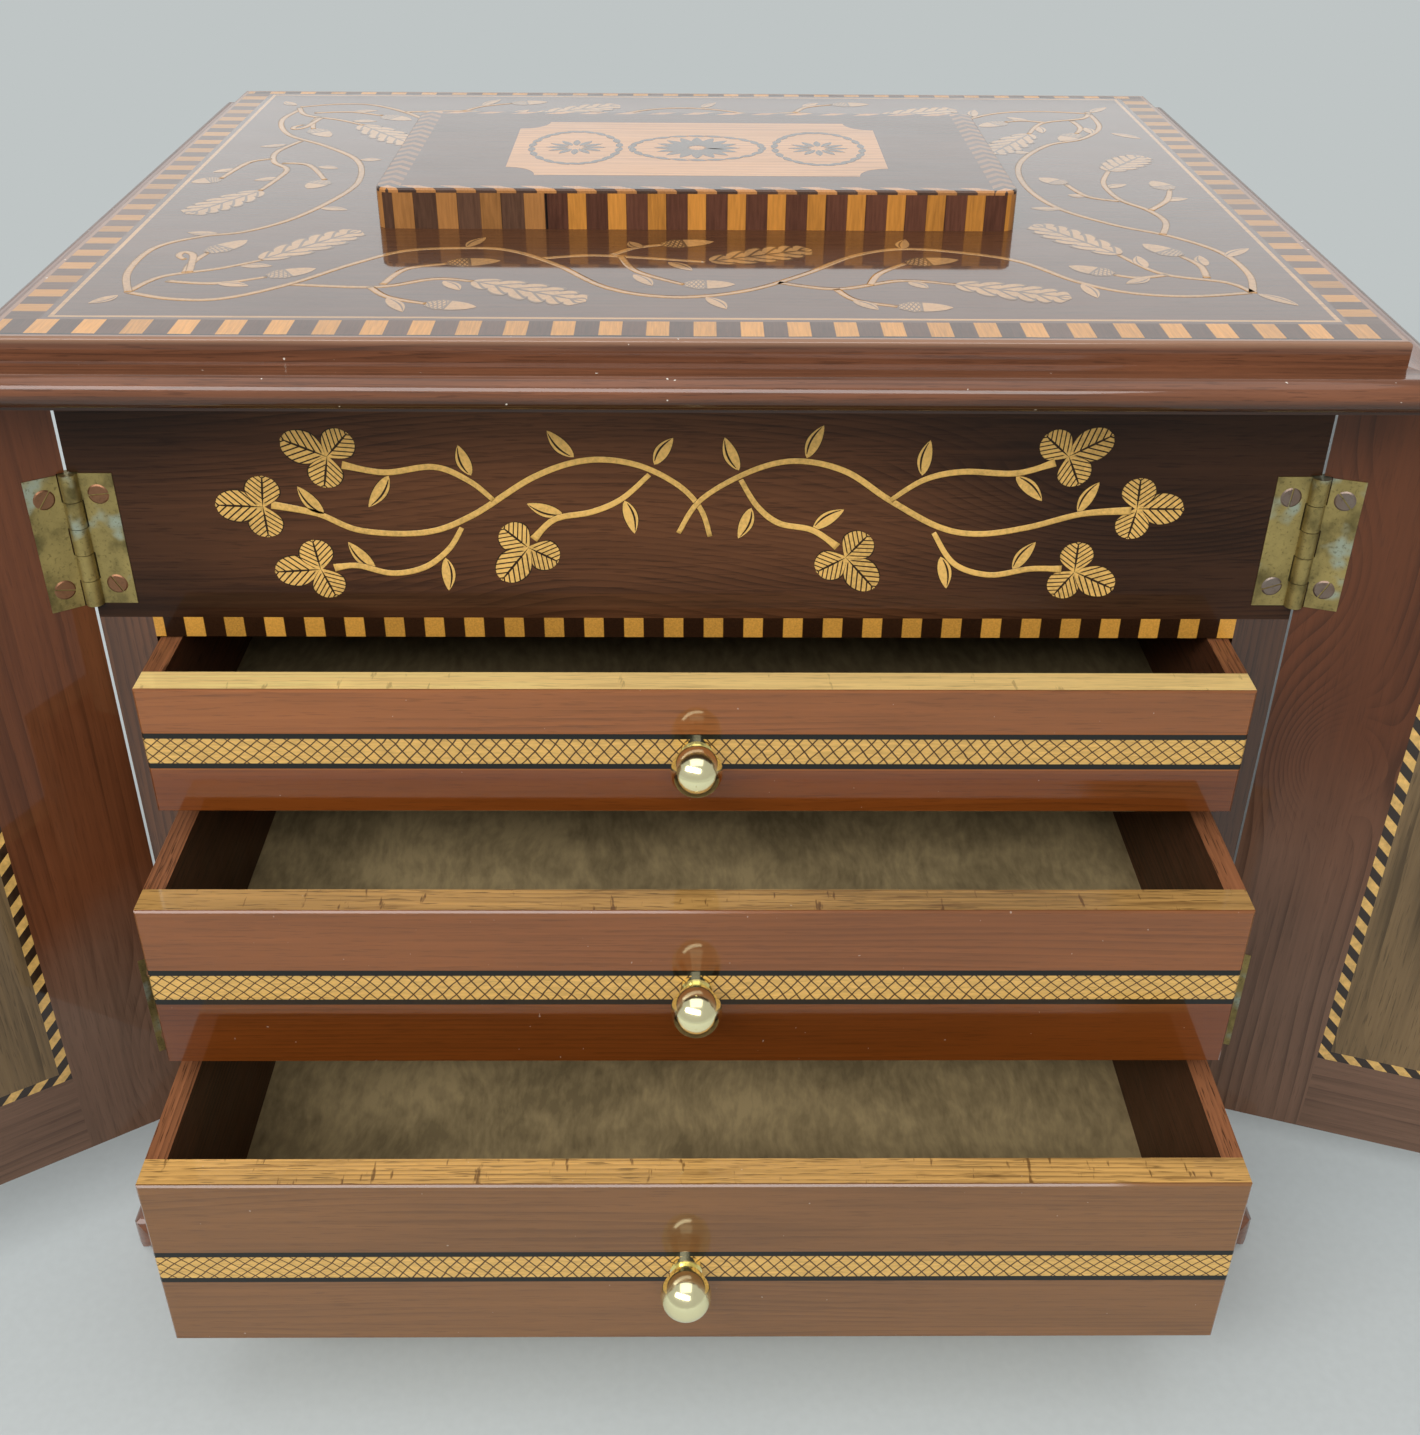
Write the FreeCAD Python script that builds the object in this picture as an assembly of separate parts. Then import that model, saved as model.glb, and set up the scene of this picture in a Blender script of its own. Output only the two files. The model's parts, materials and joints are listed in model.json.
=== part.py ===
import FreeCAD, Part
import math
import os

# Table-top jewellery casket: a case on a moulded plinth, a hinged lid with a raised block, a compartment
# under the lid, and three drawers behind a pair of doors. Shown with its doors open and drawers drawn out.
# Millimetres. X runs to the casket's right as seen from the front, Y to its back, Z up.
# The origin is the centre of the underside, on the table.

# Case
case_width = 330.0
case_depth = 245.0
side_thick = 14.6
back_thick = 11.0
frieze_thick = 15.0
frieze_height = 78.4
chequer_height = 6.1
chequer_depth = 1.5
shelf_housing = 3.0
lower_shelf_thick = 6.9
upper_shelf_thick = 9.2
compartment_floor_thick = 6.0

# Plinth moulding round the foot of the case
plinth_height = 33.0
plinth_ledge = 2.6
plinth_projection = 18.0
plinth_top_round = 0.9
plinth_fillet_out = 1.8
plinth_fillet_drop = 3.0
plinth_cavetto_sag = 2.4
plinth_torus_radius = 8.0
plinth_torus_under = 60.0
plinth_foot = 0.7
plinth_corner_radius = 9.0
floor_rise = 3.7
case_floor_thick = 6.9
bottom_board_thick = 15.0

# Doors
door_thick = 16.0
door_gap = 0.8
door_edge_inset = 0.5
door_meeting_gap = 0.6
door_floor_gap = 1.0
door_lid_gap = 1.0
stile_width = 38.2
rail_width = 31.2
string_width = 3.5
string_depth = 1.5
tongue_thick = 5.0
tongue_depth = 5.0
tenon_length = 16.0
tenon_shoulder = 5.0
door_edge_ease = 0.6
left_door_angle = 147.0
right_door_angle = 161.5

# Lid
lid_thick = 15.0
lid_gap = 0.4
lid_side_overhang = 3.1
lid_front_overhang = 3.7
lid_back_overhang = 3.1
cornice_projection = 14.0
cornice_top_round = 1.0
cornice_fascia_out = 2.0
cornice_fascia_drop = 5.8
cornice_ledge_sag = 0.3
cornice_torus_radius = 4.0
cornice_torus_start = 97.0
cornice_foot = 1.0
cornice_corner_radius = 4.0
front_banding_width = 11.0
side_banding_width = 8.5
back_banding_width = 3.5
banding_depth = 1.2
block_width = 181.0
block_depth = 96.5
block_height = 11.2
block_back_shift = 3.1
block_corner_radius = 4.0
block_banding_thick = 2.0
block_top_thick = 1.2
block_edge_ease = 0.5
lid_string_width = 1.2
lid_string_depth = 1.0
lid_string_margin = 1.6

# Drawers
bottom_drawer_height = 64.1
middle_drawer_height = 54.9
top_drawer_height = 39.7
bottom_drawer_out = 96.4
middle_drawer_out = 58.4
top_drawer_out = 27.5
bottom_band_height = 31.3
middle_band_height = 28.1
top_band_height = 20.3
drawer_side_gap = 0.9
drawer_under_gap = 0.4
drawer_over_gap = 0.7
drawer_back_gap = 2.0
front_thick = 9.5
front_edge_ease = 0.5
drawer_side_thick = 6.0
drawer_back_thick = 8.0
drawer_bottom_thick = 3.0
drawer_bottom_raise = 1.2
drawer_bottom_groove = 2.5
band_pale_height = 9.4
band_line_height = 1.5
band_depth = 1.0

# Turned knobs, measured out from the drawer front
knob_ball_radius = 7.0
knob_ball_centre = 9.6
knob_neck_radius = 3.6
knob_collar_radius = 4.4
knob_collar_thick = 1.6
knob_shank_radius = 2.0
knob_shank_length = 8.0
knob_door_clearance = 1.4
bottom_knob_shift = -2.7

# Butt hinges
hinge_length = 38.5
door_knuckle_count = 5
lid_knuckle_count = 3
knuckle_gap = 0.2
barrel_radius = 2.5
barrel_clearance = 0.3
pin_radius = 1.0
pin_clearance = 0.05
leaf_thick = 1.3
leaf_reach = 11.5
leaf_face_gap = 0.3
door_hinge_setback = 47.85
lid_hinge_spacing = 220.0
lid_barrel_standoff = 2.8

# How near two places are that count as one
same_place = 0.01

# Places worked out from the sizes above
half_case = case_width / 2
half_opening = half_case - side_thick
door_front_reach = door_gap + door_thick
plinth_front_reach = door_front_reach + plinth_ledge + plinth_projection
plinth_back_reach = plinth_ledge + plinth_projection
case_front = (plinth_front_reach - plinth_back_reach - case_depth) / 2
case_back = case_front + case_depth
door_front = case_front - door_front_reach
back_panel_front = case_back - back_thick

floor_top = plinth_height + floor_rise
bottom_drawer_z = floor_top + drawer_under_gap
lower_shelf_z = bottom_drawer_z + bottom_drawer_height + drawer_over_gap
middle_drawer_z = lower_shelf_z + lower_shelf_thick + drawer_under_gap
upper_shelf_z = middle_drawer_z + middle_drawer_height + drawer_over_gap
top_drawer_z = upper_shelf_z + upper_shelf_thick + drawer_under_gap
frieze_z = top_drawer_z + top_drawer_height + drawer_over_gap
chequer_top = frieze_z + chequer_height
case_top = frieze_z + frieze_height
lid_z = case_top + lid_gap
lid_top = lid_z + lid_thick
door_z = plinth_height + door_floor_gap
door_top = lid_z - door_lid_gap

knob_projection = knob_ball_centre + knob_ball_radius
drawer_recess = knob_projection + knob_door_clearance
drawer_length = back_panel_front - drawer_back_gap - (case_front + drawer_recess)
half_drawer = half_opening - drawer_side_gap

base_half_width = half_case + plinth_ledge
base_front = door_front - plinth_ledge
base_back = case_back + plinth_ledge
lid_half_width = half_case + lid_side_overhang
lid_front = door_front - lid_front_overhang
lid_back = case_back + lid_back_overhang

door_axis_y = case_front - door_gap / 2
lid_axis_y = case_back + lid_barrel_standoff
lid_axis_z = case_top + lid_gap / 2

X = FreeCAD.Vector(1, 0, 0)
Y = FreeCAD.Vector(0, 1, 0)
Z = FreeCAD.Vector(0, 0, 1)


def vec(x, y, z=0.0):
    return FreeCAD.Vector(x, y, z)


def block(x0, x1, y0, y1, z0, z1):
    """A board from its two corners."""
    return Part.makeBox(x1 - x0, y1 - y0, z1 - z0, vec(x0, y0, z0))


def prism(points, z0, z1):
    """A flat outline in plan, raised from z0 to z1."""
    corners = [vec(x, y, z0) for x, y in points]
    return Part.Face(Part.makePolygon(corners + corners[:1])).extrude(Z * (z1 - z0))


def is_upright(edge):
    return abs(edge.BoundBox.ZLength - edge.Length) < same_place


def rounded_block(x0, x1, y0, y1, z0, z1, radius):
    """A board whose four upright edges are rounded."""
    board = block(x0, x1, y0, y1, z0, z1)
    return board.makeFillet(radius, [e for e in board.Edges if is_upright(e)])


def edges_at(shape, test):
    """The straight edges whose two end points both pass the test."""
    return [e for e in shape.Edges if len(e.Vertexes) == 2 and all(test(v.Point) for v in e.Vertexes)]


def rod(radius, length, start, direction):
    return Part.makeCylinder(radius, length, start, direction)


def group(shapes):
    return Part.makeCompound(list(shapes))


def save(name, shape):
    """Writes one piece, or one group of like pieces, as a file of its own."""
    for solid in shape.Solids:
        if not solid.isValid() or solid.Volume <= 0:
            raise ValueError(name + " has a bad solid")
    shape.exportStep("parts/" + name + ".step")


# Mouldings

def outline(start, steps, place):
    """A closed outline from straight steps (end,) and round steps (point on the way, end)."""
    edges = []
    here = place(*start)
    for step in steps + [(start,)]:
        points = [place(*p) for p in step]
        if len(points) == 1:
            edges.append(Part.makeLine(here, points[0]))
        else:
            edges.append(Part.Arc(here, points[0], points[1]).toShape())
        here = points[-1]
    return Part.Face(Part.Wire(edges))


def hollow_mid(start, end, sag):
    """The point on the way of a hollow curve that falls from start to end, sunk by sag into the wood."""
    run = end[0] - start[0]
    fall = start[1] - end[1]
    chord = math.hypot(run, fall)
    mid_out = (start[0] + end[0]) / 2 - sag * fall / chord
    mid_up = (start[1] + end[1]) / 2 - sag * run / chord
    return mid_out, mid_up


def corner_round(start, end):
    """The point on the way of a small quarter round over a top edge."""
    bulge = math.sqrt(0.5)
    return start[0] + (end[0] - start[0]) * bulge, end[1] + (start[1] - end[1]) * bulge


def plinth_profile(inner):
    """The plinth's outline, out from its ledge and up from the table: eased edge, fillet, cavetto, torus."""
    ease_start = (plinth_fillet_out - plinth_top_round, plinth_height)
    ease_end = (plinth_fillet_out, plinth_height - plinth_top_round)
    hollow_start = (plinth_fillet_out, plinth_height - plinth_fillet_drop)
    under = math.radians(plinth_torus_under)
    centre_out = plinth_projection - plinth_torus_radius
    centre_up = plinth_foot + plinth_torus_radius * math.sin(under)
    hollow_end = (centre_out, centre_up + plinth_torus_radius)
    foot_out = centre_out + plinth_torus_radius * math.cos(under)
    return (-inner, plinth_height), [
        (ease_start,),
        (corner_round(ease_start, ease_end), ease_end),
        (hollow_start,),
        (hollow_mid(hollow_start, hollow_end, plinth_cavetto_sag), hollow_end),
        ((plinth_projection, centre_up), (foot_out, plinth_foot)),
        ((foot_out, 0.0),),
        ((-inner, 0.0),),
    ]


def cornice_profile(inner):
    """The outline of the lid's edge: eased top edge, fascia, hollowed ledge, torus and a thin foot."""
    ease_start = (cornice_fascia_out - cornice_top_round, lid_thick)
    ease_end = (cornice_fascia_out, lid_thick - cornice_top_round)
    ledge_start = (cornice_fascia_out, lid_thick - cornice_fascia_drop)
    centre_out = cornice_projection - cornice_torus_radius
    centre_up = cornice_foot + cornice_torus_radius
    start = math.radians(cornice_torus_start)
    torus_start = (centre_out + cornice_torus_radius * math.cos(start),
                   centre_up + cornice_torus_radius * math.sin(start))
    return (-inner, lid_thick), [
        (ease_start,),
        (corner_round(ease_start, ease_end), ease_end),
        (ledge_start,),
        (hollow_mid(ledge_start, torus_start, cornice_ledge_sag), torus_start),
        ((cornice_projection, centre_up), (centre_out, cornice_foot)),
        ((centre_out, 0.0),),
        ((-inner, 0.0),),
    ]


def mitred_moulding(side, core, rect, reach, z, profile, radius):
    """One length of moulding, mitred at its ends, its corners rounded in plan.

    It stands on the upright faces of core (x0, x1, y0, y1), its top edge eases off from rect, and it
    projects by reach from there.
    """
    x0, x1, y0, y1 = rect
    core_x0, core_x1, core_y0, core_y1 = core
    outer = (x0 - reach, x1 + reach, y0 - reach, y1 + reach)
    mitre = x1 - core_x1
    if side in ("front", "back"):
        front = (y0, outer[2], core_y0, -1)
        edge, tip, inside, out = front if side == "front" else (y1, outer[3], core_y1, 1)
        start, steps = profile(abs(edge - inside))
        face = outline(start, steps, lambda h, up: vec(outer[0], edge + out * h, z + up))
        strip = face.extrude(X * (outer[1] - outer[0]))
        plan = [(outer[0], tip), (outer[1], tip), (x1, edge), (core_x1, edge - out * mitre),
                (core_x1, inside), (core_x0, inside), (core_x0, edge - out * mitre), (x0, edge)]
    else:
        left = (x0, outer[0], core_x0, -1)
        edge, tip, inside, out = left if side == "left" else (x1, outer[1], core_x1, 1)
        start, steps = profile(mitre)
        face = outline(start, steps, lambda h, up: vec(edge + out * h, outer[2], z + up))
        strip = face.extrude(Y * (outer[3] - outer[2]))
        plan = [(tip, outer[2]), (tip, outer[3]), (edge, y1), (inside, y1 - mitre),
                (inside, y0 + mitre), (edge, y0)]
    plan = [point for i, point in enumerate(plan) if math.dist(point, plan[i - 1]) > same_place]
    height = max(up for step in steps for _, up in step)
    strip = strip.common(prism(plan, z, z + height))
    return strip.common(rounded_block(*outer, z, z + height, radius)).Solids[0]


# Hinges. A hinge is made about its own axis: the leaf reaches along u and the wood lies on the side away
# from n. The pin is riveted into the leaf that stays on the case, so those two are one piece.

def hinge_frame(origin, u, n):
    w = u.cross(n)
    return FreeCAD.Placement(FreeCAD.Matrix(
        u.x, n.x, w.x, origin.x, u.y, n.y, w.y, origin.y, u.z, n.z, w.z, origin.z, 0, 0, 0, 1))


def placed(shape, frame):
    moved = shape.copy()
    moved.Placement = frame.multiply(moved.Placement)
    return moved


def leaf_plate(from_axis, thick, stand):
    """The flat of a leaf, as long as the hinge, its face at stand from the axis."""
    half = hinge_length / 2
    return block(from_axis, leaf_reach, stand - thick, stand, -half, half)


def hinge_leaf(knuckle_count, knuckles):
    """A leaf with the solid knuckles whose numbers are given."""
    pitch = (hinge_length + knuckle_gap) / knuckle_count
    stand = -leaf_face_gap / 2
    clear = barrel_radius + barrel_clearance
    leaf = leaf_plate(clear, leaf_thick, stand)
    for number in knuckles:
        low = number * pitch - hinge_length / 2
        high = low + pitch - knuckle_gap
        web = block(0.0, clear, stand - leaf_thick, stand, low, high)
        leaf = leaf.fuse([web, rod(barrel_radius, high - low, vec(0, 0, low), Z)])
    return leaf


def case_leaf(knuckle_count):
    """The leaf that stays on the case: every other knuckle, with the pin riveted through them."""
    return hinge_leaf(knuckle_count, range(0, knuckle_count, 2)).fuse(pin(pin_radius)).removeSplitter()


def moving_leaf(knuckle_count):
    """The leaf that swings on the pin, on the knuckles between."""
    leaf = hinge_leaf(knuckle_count, range(1, knuckle_count, 2))
    return leaf.cut(pin(pin_radius + pin_clearance)).removeSplitter()


def pin(radius):
    return rod(radius, hinge_length, vec(0, 0, -hinge_length / 2), Z)


def hinge_seat():
    """What is cut from the wood for a leaf: its bed and room for the barrel."""
    half = hinge_length / 2
    bed = leaf_plate(0.0, leaf_thick + barrel_radius, barrel_radius - leaf_face_gap / 2)
    barrel = rod(barrel_radius + barrel_clearance, hinge_length + 2 * barrel_clearance,
                 vec(0, 0, -half - barrel_clearance), Z)
    return group([bed, barrel])


def cut_all(shape, tools):
    for tool in tools:
        for solid in tool.Solids:
            shape = shape.cut(solid)
    return shape


door_hinge_heights = (door_z + door_hinge_setback, door_top - door_hinge_setback)

case_door_frames = [hinge_frame(vec(side * half_case, door_axis_y, up), X * -side, -Y)
                    for side in (-1, 1) for up in door_hinge_heights]
lid_hinge_origins = [vec(side * lid_hinge_spacing / 2, lid_axis_y, lid_axis_z) for side in (-1, 1)]
case_lid_frames = [hinge_frame(origin, -Y, Z) for origin in lid_hinge_origins]
lid_frames = [hinge_frame(origin, -Y, -Z) for origin in lid_hinge_origins]


# Case

def shelf(z, thick, front):
    """A board housed in both sides, from the given front edge to the back panel."""
    reach = half_opening + shelf_housing
    return block(-reach, reach, front, back_panel_front, z, z + thick)


def build_case():
    shelf_front = case_front + drawer_recess
    lower = shelf(lower_shelf_z, lower_shelf_thick, shelf_front)
    upper = shelf(upper_shelf_z, upper_shelf_thick, shelf_front)
    floor = shelf(frieze_z, compartment_floor_thick, case_front + frieze_thick)
    save("lower_dust_board", lower)
    save("upper_dust_board", upper)
    save("compartment_floor", floor)

    drawer_floor = shelf(floor_top - case_floor_thick, case_floor_thick, case_front)
    save("case_floor", drawer_floor)
    save("bottom_board", block(-half_case, half_case, case_front, case_back, 0, bottom_board_thick))

    door_seats = [placed(hinge_seat(), frame) for frame in case_door_frames]
    frieze_back = case_front + frieze_thick
    for name, side in (("left", -1), ("right", 1)):
        inner, outer = sorted((side * half_opening, side * half_case))
        board = block(inner, outer, case_front, case_back, bottom_board_thick, case_top)
        lap = block(inner, outer, case_front, frieze_back, chequer_top, case_top)
        save("case_side_" + name, cut_all(board, [lap, drawer_floor, lower, upper, floor] + door_seats))

    face = block(-half_case, half_case, case_front, frieze_back, chequer_top, case_top)
    foot = block(-half_opening, half_opening, case_front, frieze_back, frieze_z, chequer_top)
    chequer = block(-half_opening, half_opening, case_front, case_front + chequer_depth,
                    frieze_z, chequer_top)
    save("frieze", cut_all(face.fuse(foot).removeSplitter(), [chequer] + door_seats))
    save("frieze_chequer", chequer)

    lid_seats = [placed(hinge_seat(), frame) for frame in case_lid_frames]
    back = block(-half_opening, half_opening, back_panel_front, case_back, bottom_board_thick, case_top)
    save("back_panel", cut_all(back, lid_seats))


def build_plinth():
    core = (-half_case, half_case, case_front, case_back)
    rect = (-base_half_width, base_half_width, base_front, base_back)
    for side in ("front", "left", "right", "back"):
        save("plinth_" + side, mitred_moulding(
            side, core, rect, plinth_projection, 0.0, plinth_profile, plinth_corner_radius))


def build_case_hinges():
    leaves = [placed(case_leaf(door_knuckle_count), frame) for frame in case_door_frames]
    leaves += [placed(case_leaf(lid_knuckle_count), frame) for frame in case_lid_frames]
    save("case_hinge_leaves", group(leaves))


# Lid

def lid_stringing():
    """The pale line let into the lid's top, just inside the banding."""
    inset = side_banding_width + lid_string_margin
    x1 = lid_half_width - inset
    y0 = lid_front + front_banding_width + lid_string_margin
    y1 = lid_back - back_banding_width - lid_string_margin
    low = lid_top - lid_string_depth
    w = lid_string_width
    ring = block(-x1, x1, y0, y1, low, lid_top)
    return ring.cut(block(-x1 + w, x1 - w, y0 + w, y1 - w, low, lid_top))


def lid_strips():
    """The banding let into the edges of the lid's top: front, back, left, right."""
    low = lid_top - banding_depth
    side_front = lid_front + front_banding_width
    side_back = lid_back - back_banding_width
    strips = [block(-lid_half_width, lid_half_width, lid_front, side_front, low, lid_top),
              block(-lid_half_width, lid_half_width, side_back, lid_back, low, lid_top)]
    for side in (-1, 1):
        x0, x1 = sorted((side * lid_half_width, side * (lid_half_width - side_banding_width)))
        strips.append(block(x0, x1, side_front, side_back, low, lid_top))
    return strips


def block_strips(outer):
    """The upright banding round the raised block, trimmed to its rounded corners."""
    x0, x1, y0, y1 = outer
    t = block_banding_thick
    z0, z1 = lid_top, lid_top + block_height - block_top_thick
    plain = [block(x0, x1, y0, y0 + t, z0, z1), block(x0, x1, y1 - t, y1, z0, z1),
             block(x0, x0 + t, y0 + t, y1 - t, z0, z1), block(x1 - t, x1, y0 + t, y1 - t, z0, z1)]
    envelope = rounded_block(*outer, z0, z1, block_corner_radius)
    return [strip.common(envelope).Solids[0] for strip in plain]


def build_lid():
    rect = (-lid_half_width, lid_half_width, lid_front, lid_back)
    seats = [placed(hinge_seat(), frame) for frame in lid_frames]
    strips = lid_strips()
    string = lid_stringing()
    save("lid_board", cut_all(block(*rect, lid_z, lid_top), strips + [string] + seats))
    save("lid_banding", group(strips))
    save("lid_stringing", string)

    for side in ("front", "left", "right", "back"):
        length = mitred_moulding(
            side, rect, rect, cornice_projection, lid_z, cornice_profile, cornice_corner_radius)
        save("cornice_" + side, cut_all(length, seats) if side == "back" else length)

    centre_y = (lid_front + lid_back) / 2 + block_back_shift
    outer = (-block_width / 2, block_width / 2, centre_y - block_depth / 2, centre_y + block_depth / 2)
    top = lid_top + block_height
    core_top = top - block_top_thick
    upright = block_strips(outer)
    core = rounded_block(*outer, lid_top, core_top, block_corner_radius)
    save("lid_block", cut_all(core, upright))
    save("lid_block_banding", group(upright))
    panel = rounded_block(*outer, core_top, top, block_corner_radius)
    rim = edges_at(panel, lambda p: p.z > top - same_place)
    save("lid_block_panel", panel.makeChamfer(block_edge_ease, rim))

    save("lid_hinge_leaves", group(placed(moving_leaf(lid_knuckle_count), frame) for frame in lid_frames))


# Doors. Both are made as the left door, closed; the right one is its mirror image.

def eased(board, x, y_faces):
    """A stile whose long edges at x are eased on both faces."""
    corners = [vec(x, y) for y in y_faces]
    near = edges_at(board, lambda p: min(vec(p.x, p.y).distanceToPoint(c) for c in corners) < same_place)
    return board.makeChamfer(door_edge_ease, [e for e in near if is_upright(e)])


def door_pieces():
    x0 = -half_case + door_edge_inset
    x1 = -door_meeting_gap / 2
    y0, y1 = door_front, door_front + door_thick
    panel_x0, panel_x1 = x0 + stile_width, x1 - stile_width
    panel_z0, panel_z1 = door_z + rail_width, door_top - rail_width
    tongue_y0 = (y0 + y1 - tongue_thick) / 2
    tongue_y1 = tongue_y0 + tongue_thick

    panel = block(panel_x0, panel_x1, y0, y1, panel_z0, panel_z1)
    tongue = block(panel_x0 - tongue_depth, panel_x1 + tongue_depth, tongue_y0, tongue_y1,
                   panel_z0 - tongue_depth, panel_z1 + tongue_depth)
    string = []
    for string_y0, string_y1 in ((y0, y0 + string_depth), (y1 - string_depth, y1)):
        ring = block(panel_x0, panel_x1, string_y0, string_y1, panel_z0, panel_z1)
        hole = block(panel_x0 + string_width, panel_x1 - string_width, string_y0, string_y1,
                     panel_z0 + string_width, panel_z1 - string_width)
        string.append(ring.cut(hole))

    rails = []
    for z0, z1, tenon_z0, tenon_z1 in (
            (door_z, panel_z0, door_z + tenon_shoulder, panel_z0 - tongue_depth),
            (panel_z1, door_top, panel_z1 + tongue_depth, door_top - tenon_shoulder)):
        rail = block(panel_x0, panel_x1, y0, y1, z0, z1)
        tenon = block(panel_x0 - tenon_length, panel_x1 + tenon_length, tongue_y0, tongue_y1,
                      tenon_z0, tenon_z1)
        rails.append(rail.fuse(tenon).cut(tongue).removeSplitter())

    frames = [hinge_frame(vec(-half_case, door_axis_y, up), X, Y) for up in door_hinge_heights]
    seats = [placed(hinge_seat(), frame) for frame in frames]
    hinge_stile = eased(block(x0, panel_x0, y0, y1, door_z, door_top), x0, (y0,))
    meeting_stile = eased(block(panel_x1, x1, y0, y1, door_z, door_top), x1, (y0, y1))
    return {
        "hinge_stile": cut_all(hinge_stile, [tongue] + rails + seats),
        "meeting_stile": cut_all(meeting_stile, [tongue] + rails),
        "rails": group(rails),
        "panel": cut_all(panel.fuse(tongue).removeSplitter(), string),
        "stringing": group(string),
        "hinge_leaves": group(placed(moving_leaf(door_knuckle_count), frame) for frame in frames),
    }


def build_doors():
    pieces = door_pieces()
    for name, shape in pieces.items():
        left = shape.copy()
        left.rotate(vec(-half_case, door_axis_y), Z, -left_door_angle)
        save("left_door_" + name, left)
        right = shape.mirror(vec(0, 0), X)
        right.rotate(vec(half_case, door_axis_y), Z, right_door_angle)
        save("right_door_" + name, right)


# Drawers

def knob():
    """A turned knob about the Y axis, its collar against y = 0 and its shank running in behind.

    The back of the ball tapers straight to the neck, on a cone that leaves the ball without a step.
    """
    centre = vec(0, -knob_ball_centre)
    apex_reach = knob_ball_centre - knob_collar_thick
    gap = math.hypot(apex_reach, knob_neck_radius)
    lean = math.atan2(knob_neck_radius, apex_reach) + math.acos(knob_ball_radius / gap)
    touch_back = knob_ball_radius * math.cos(lean)
    touch_radius = knob_ball_radius * math.sin(lean)
    neck = vec(0, -knob_collar_thick)
    taper = Part.makeCone(knob_neck_radius, touch_radius, apex_reach - touch_back, neck, -Y)
    ball = Part.makeSphere(knob_ball_radius, centre, -Y, -math.degrees(math.pi / 2 - lean), 90, 360)
    collar = rod(knob_collar_radius, knob_collar_thick, neck, Y)
    shank = rod(knob_shank_radius, knob_shank_length, vec(0, 0), Y)
    return ball.fuse([taper, collar, shank]).removeSplitter()


def build_drawer(name, z, height, out, band_height, knob_shift):
    """One drawer: front, two sides, back, bottom let into grooves, inlaid band and knob."""
    front_y = case_front - out
    inner_y = front_y + front_thick
    back_y = front_y + drawer_length
    bottom_z = z + drawer_bottom_raise
    bottom_top = bottom_z + drawer_bottom_thick
    inner_half = half_drawer - drawer_side_thick

    bottom_half = inner_half + drawer_bottom_groove
    bottom = block(-bottom_half, bottom_half, inner_y - drawer_bottom_groove, back_y, bottom_z, bottom_top)
    save(name + "_bottom", bottom)

    front = block(-half_drawer, half_drawer, front_y, inner_y, z, z + height)
    front = front.makeChamfer(front_edge_ease, edges_at(front, lambda p: p.y < front_y + same_place))
    shank_hole = rod(knob_shank_radius, knob_shank_length, vec(knob_shift, front_y, z + band_height), Y)
    band_z = z + band_height - band_pale_height / 2 - band_line_height
    band = []
    for strip_height in (band_line_height, band_pale_height, band_line_height):
        room = block(-half_drawer, half_drawer, front_y, front_y + band_depth, band_z, band_z + strip_height)
        band.append(front.common(room).cut(shank_hole))
        band_z += strip_height
    save(name + "_band", group(band))
    save(name + "_front", cut_all(front, band + [bottom, shank_hole]))

    turned = knob()
    turned.translate(vec(knob_shift, front_y, z + band_height))
    save(name + "_knob", turned)

    for side_name, side in (("left", -1), ("right", 1)):
        x0, x1 = sorted((side * inner_half, side * half_drawer))
        board = block(x0, x1, inner_y, back_y, z, z + height)
        save(name + "_side_" + side_name, board.cut(bottom))
    back = block(-inner_half, inner_half, back_y - drawer_back_thick, back_y, bottom_top, z + height)
    save(name + "_back", back)


def build_drawers():
    build_drawer("bottom_drawer", bottom_drawer_z, bottom_drawer_height, bottom_drawer_out,
                 bottom_band_height, bottom_knob_shift)
    build_drawer("middle_drawer", middle_drawer_z, middle_drawer_height, middle_drawer_out,
                 middle_band_height, 0.0)
    build_drawer("top_drawer", top_drawer_z, top_drawer_height, top_drawer_out, top_band_height, 0.0)


os.makedirs("parts", exist_ok=True)
build_case()
build_plinth()
build_case_hinges()
build_lid()
build_doors()
build_drawers()
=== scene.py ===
import json
import math

import bmesh
import bpy
from mathutils import Matrix, Vector


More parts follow.
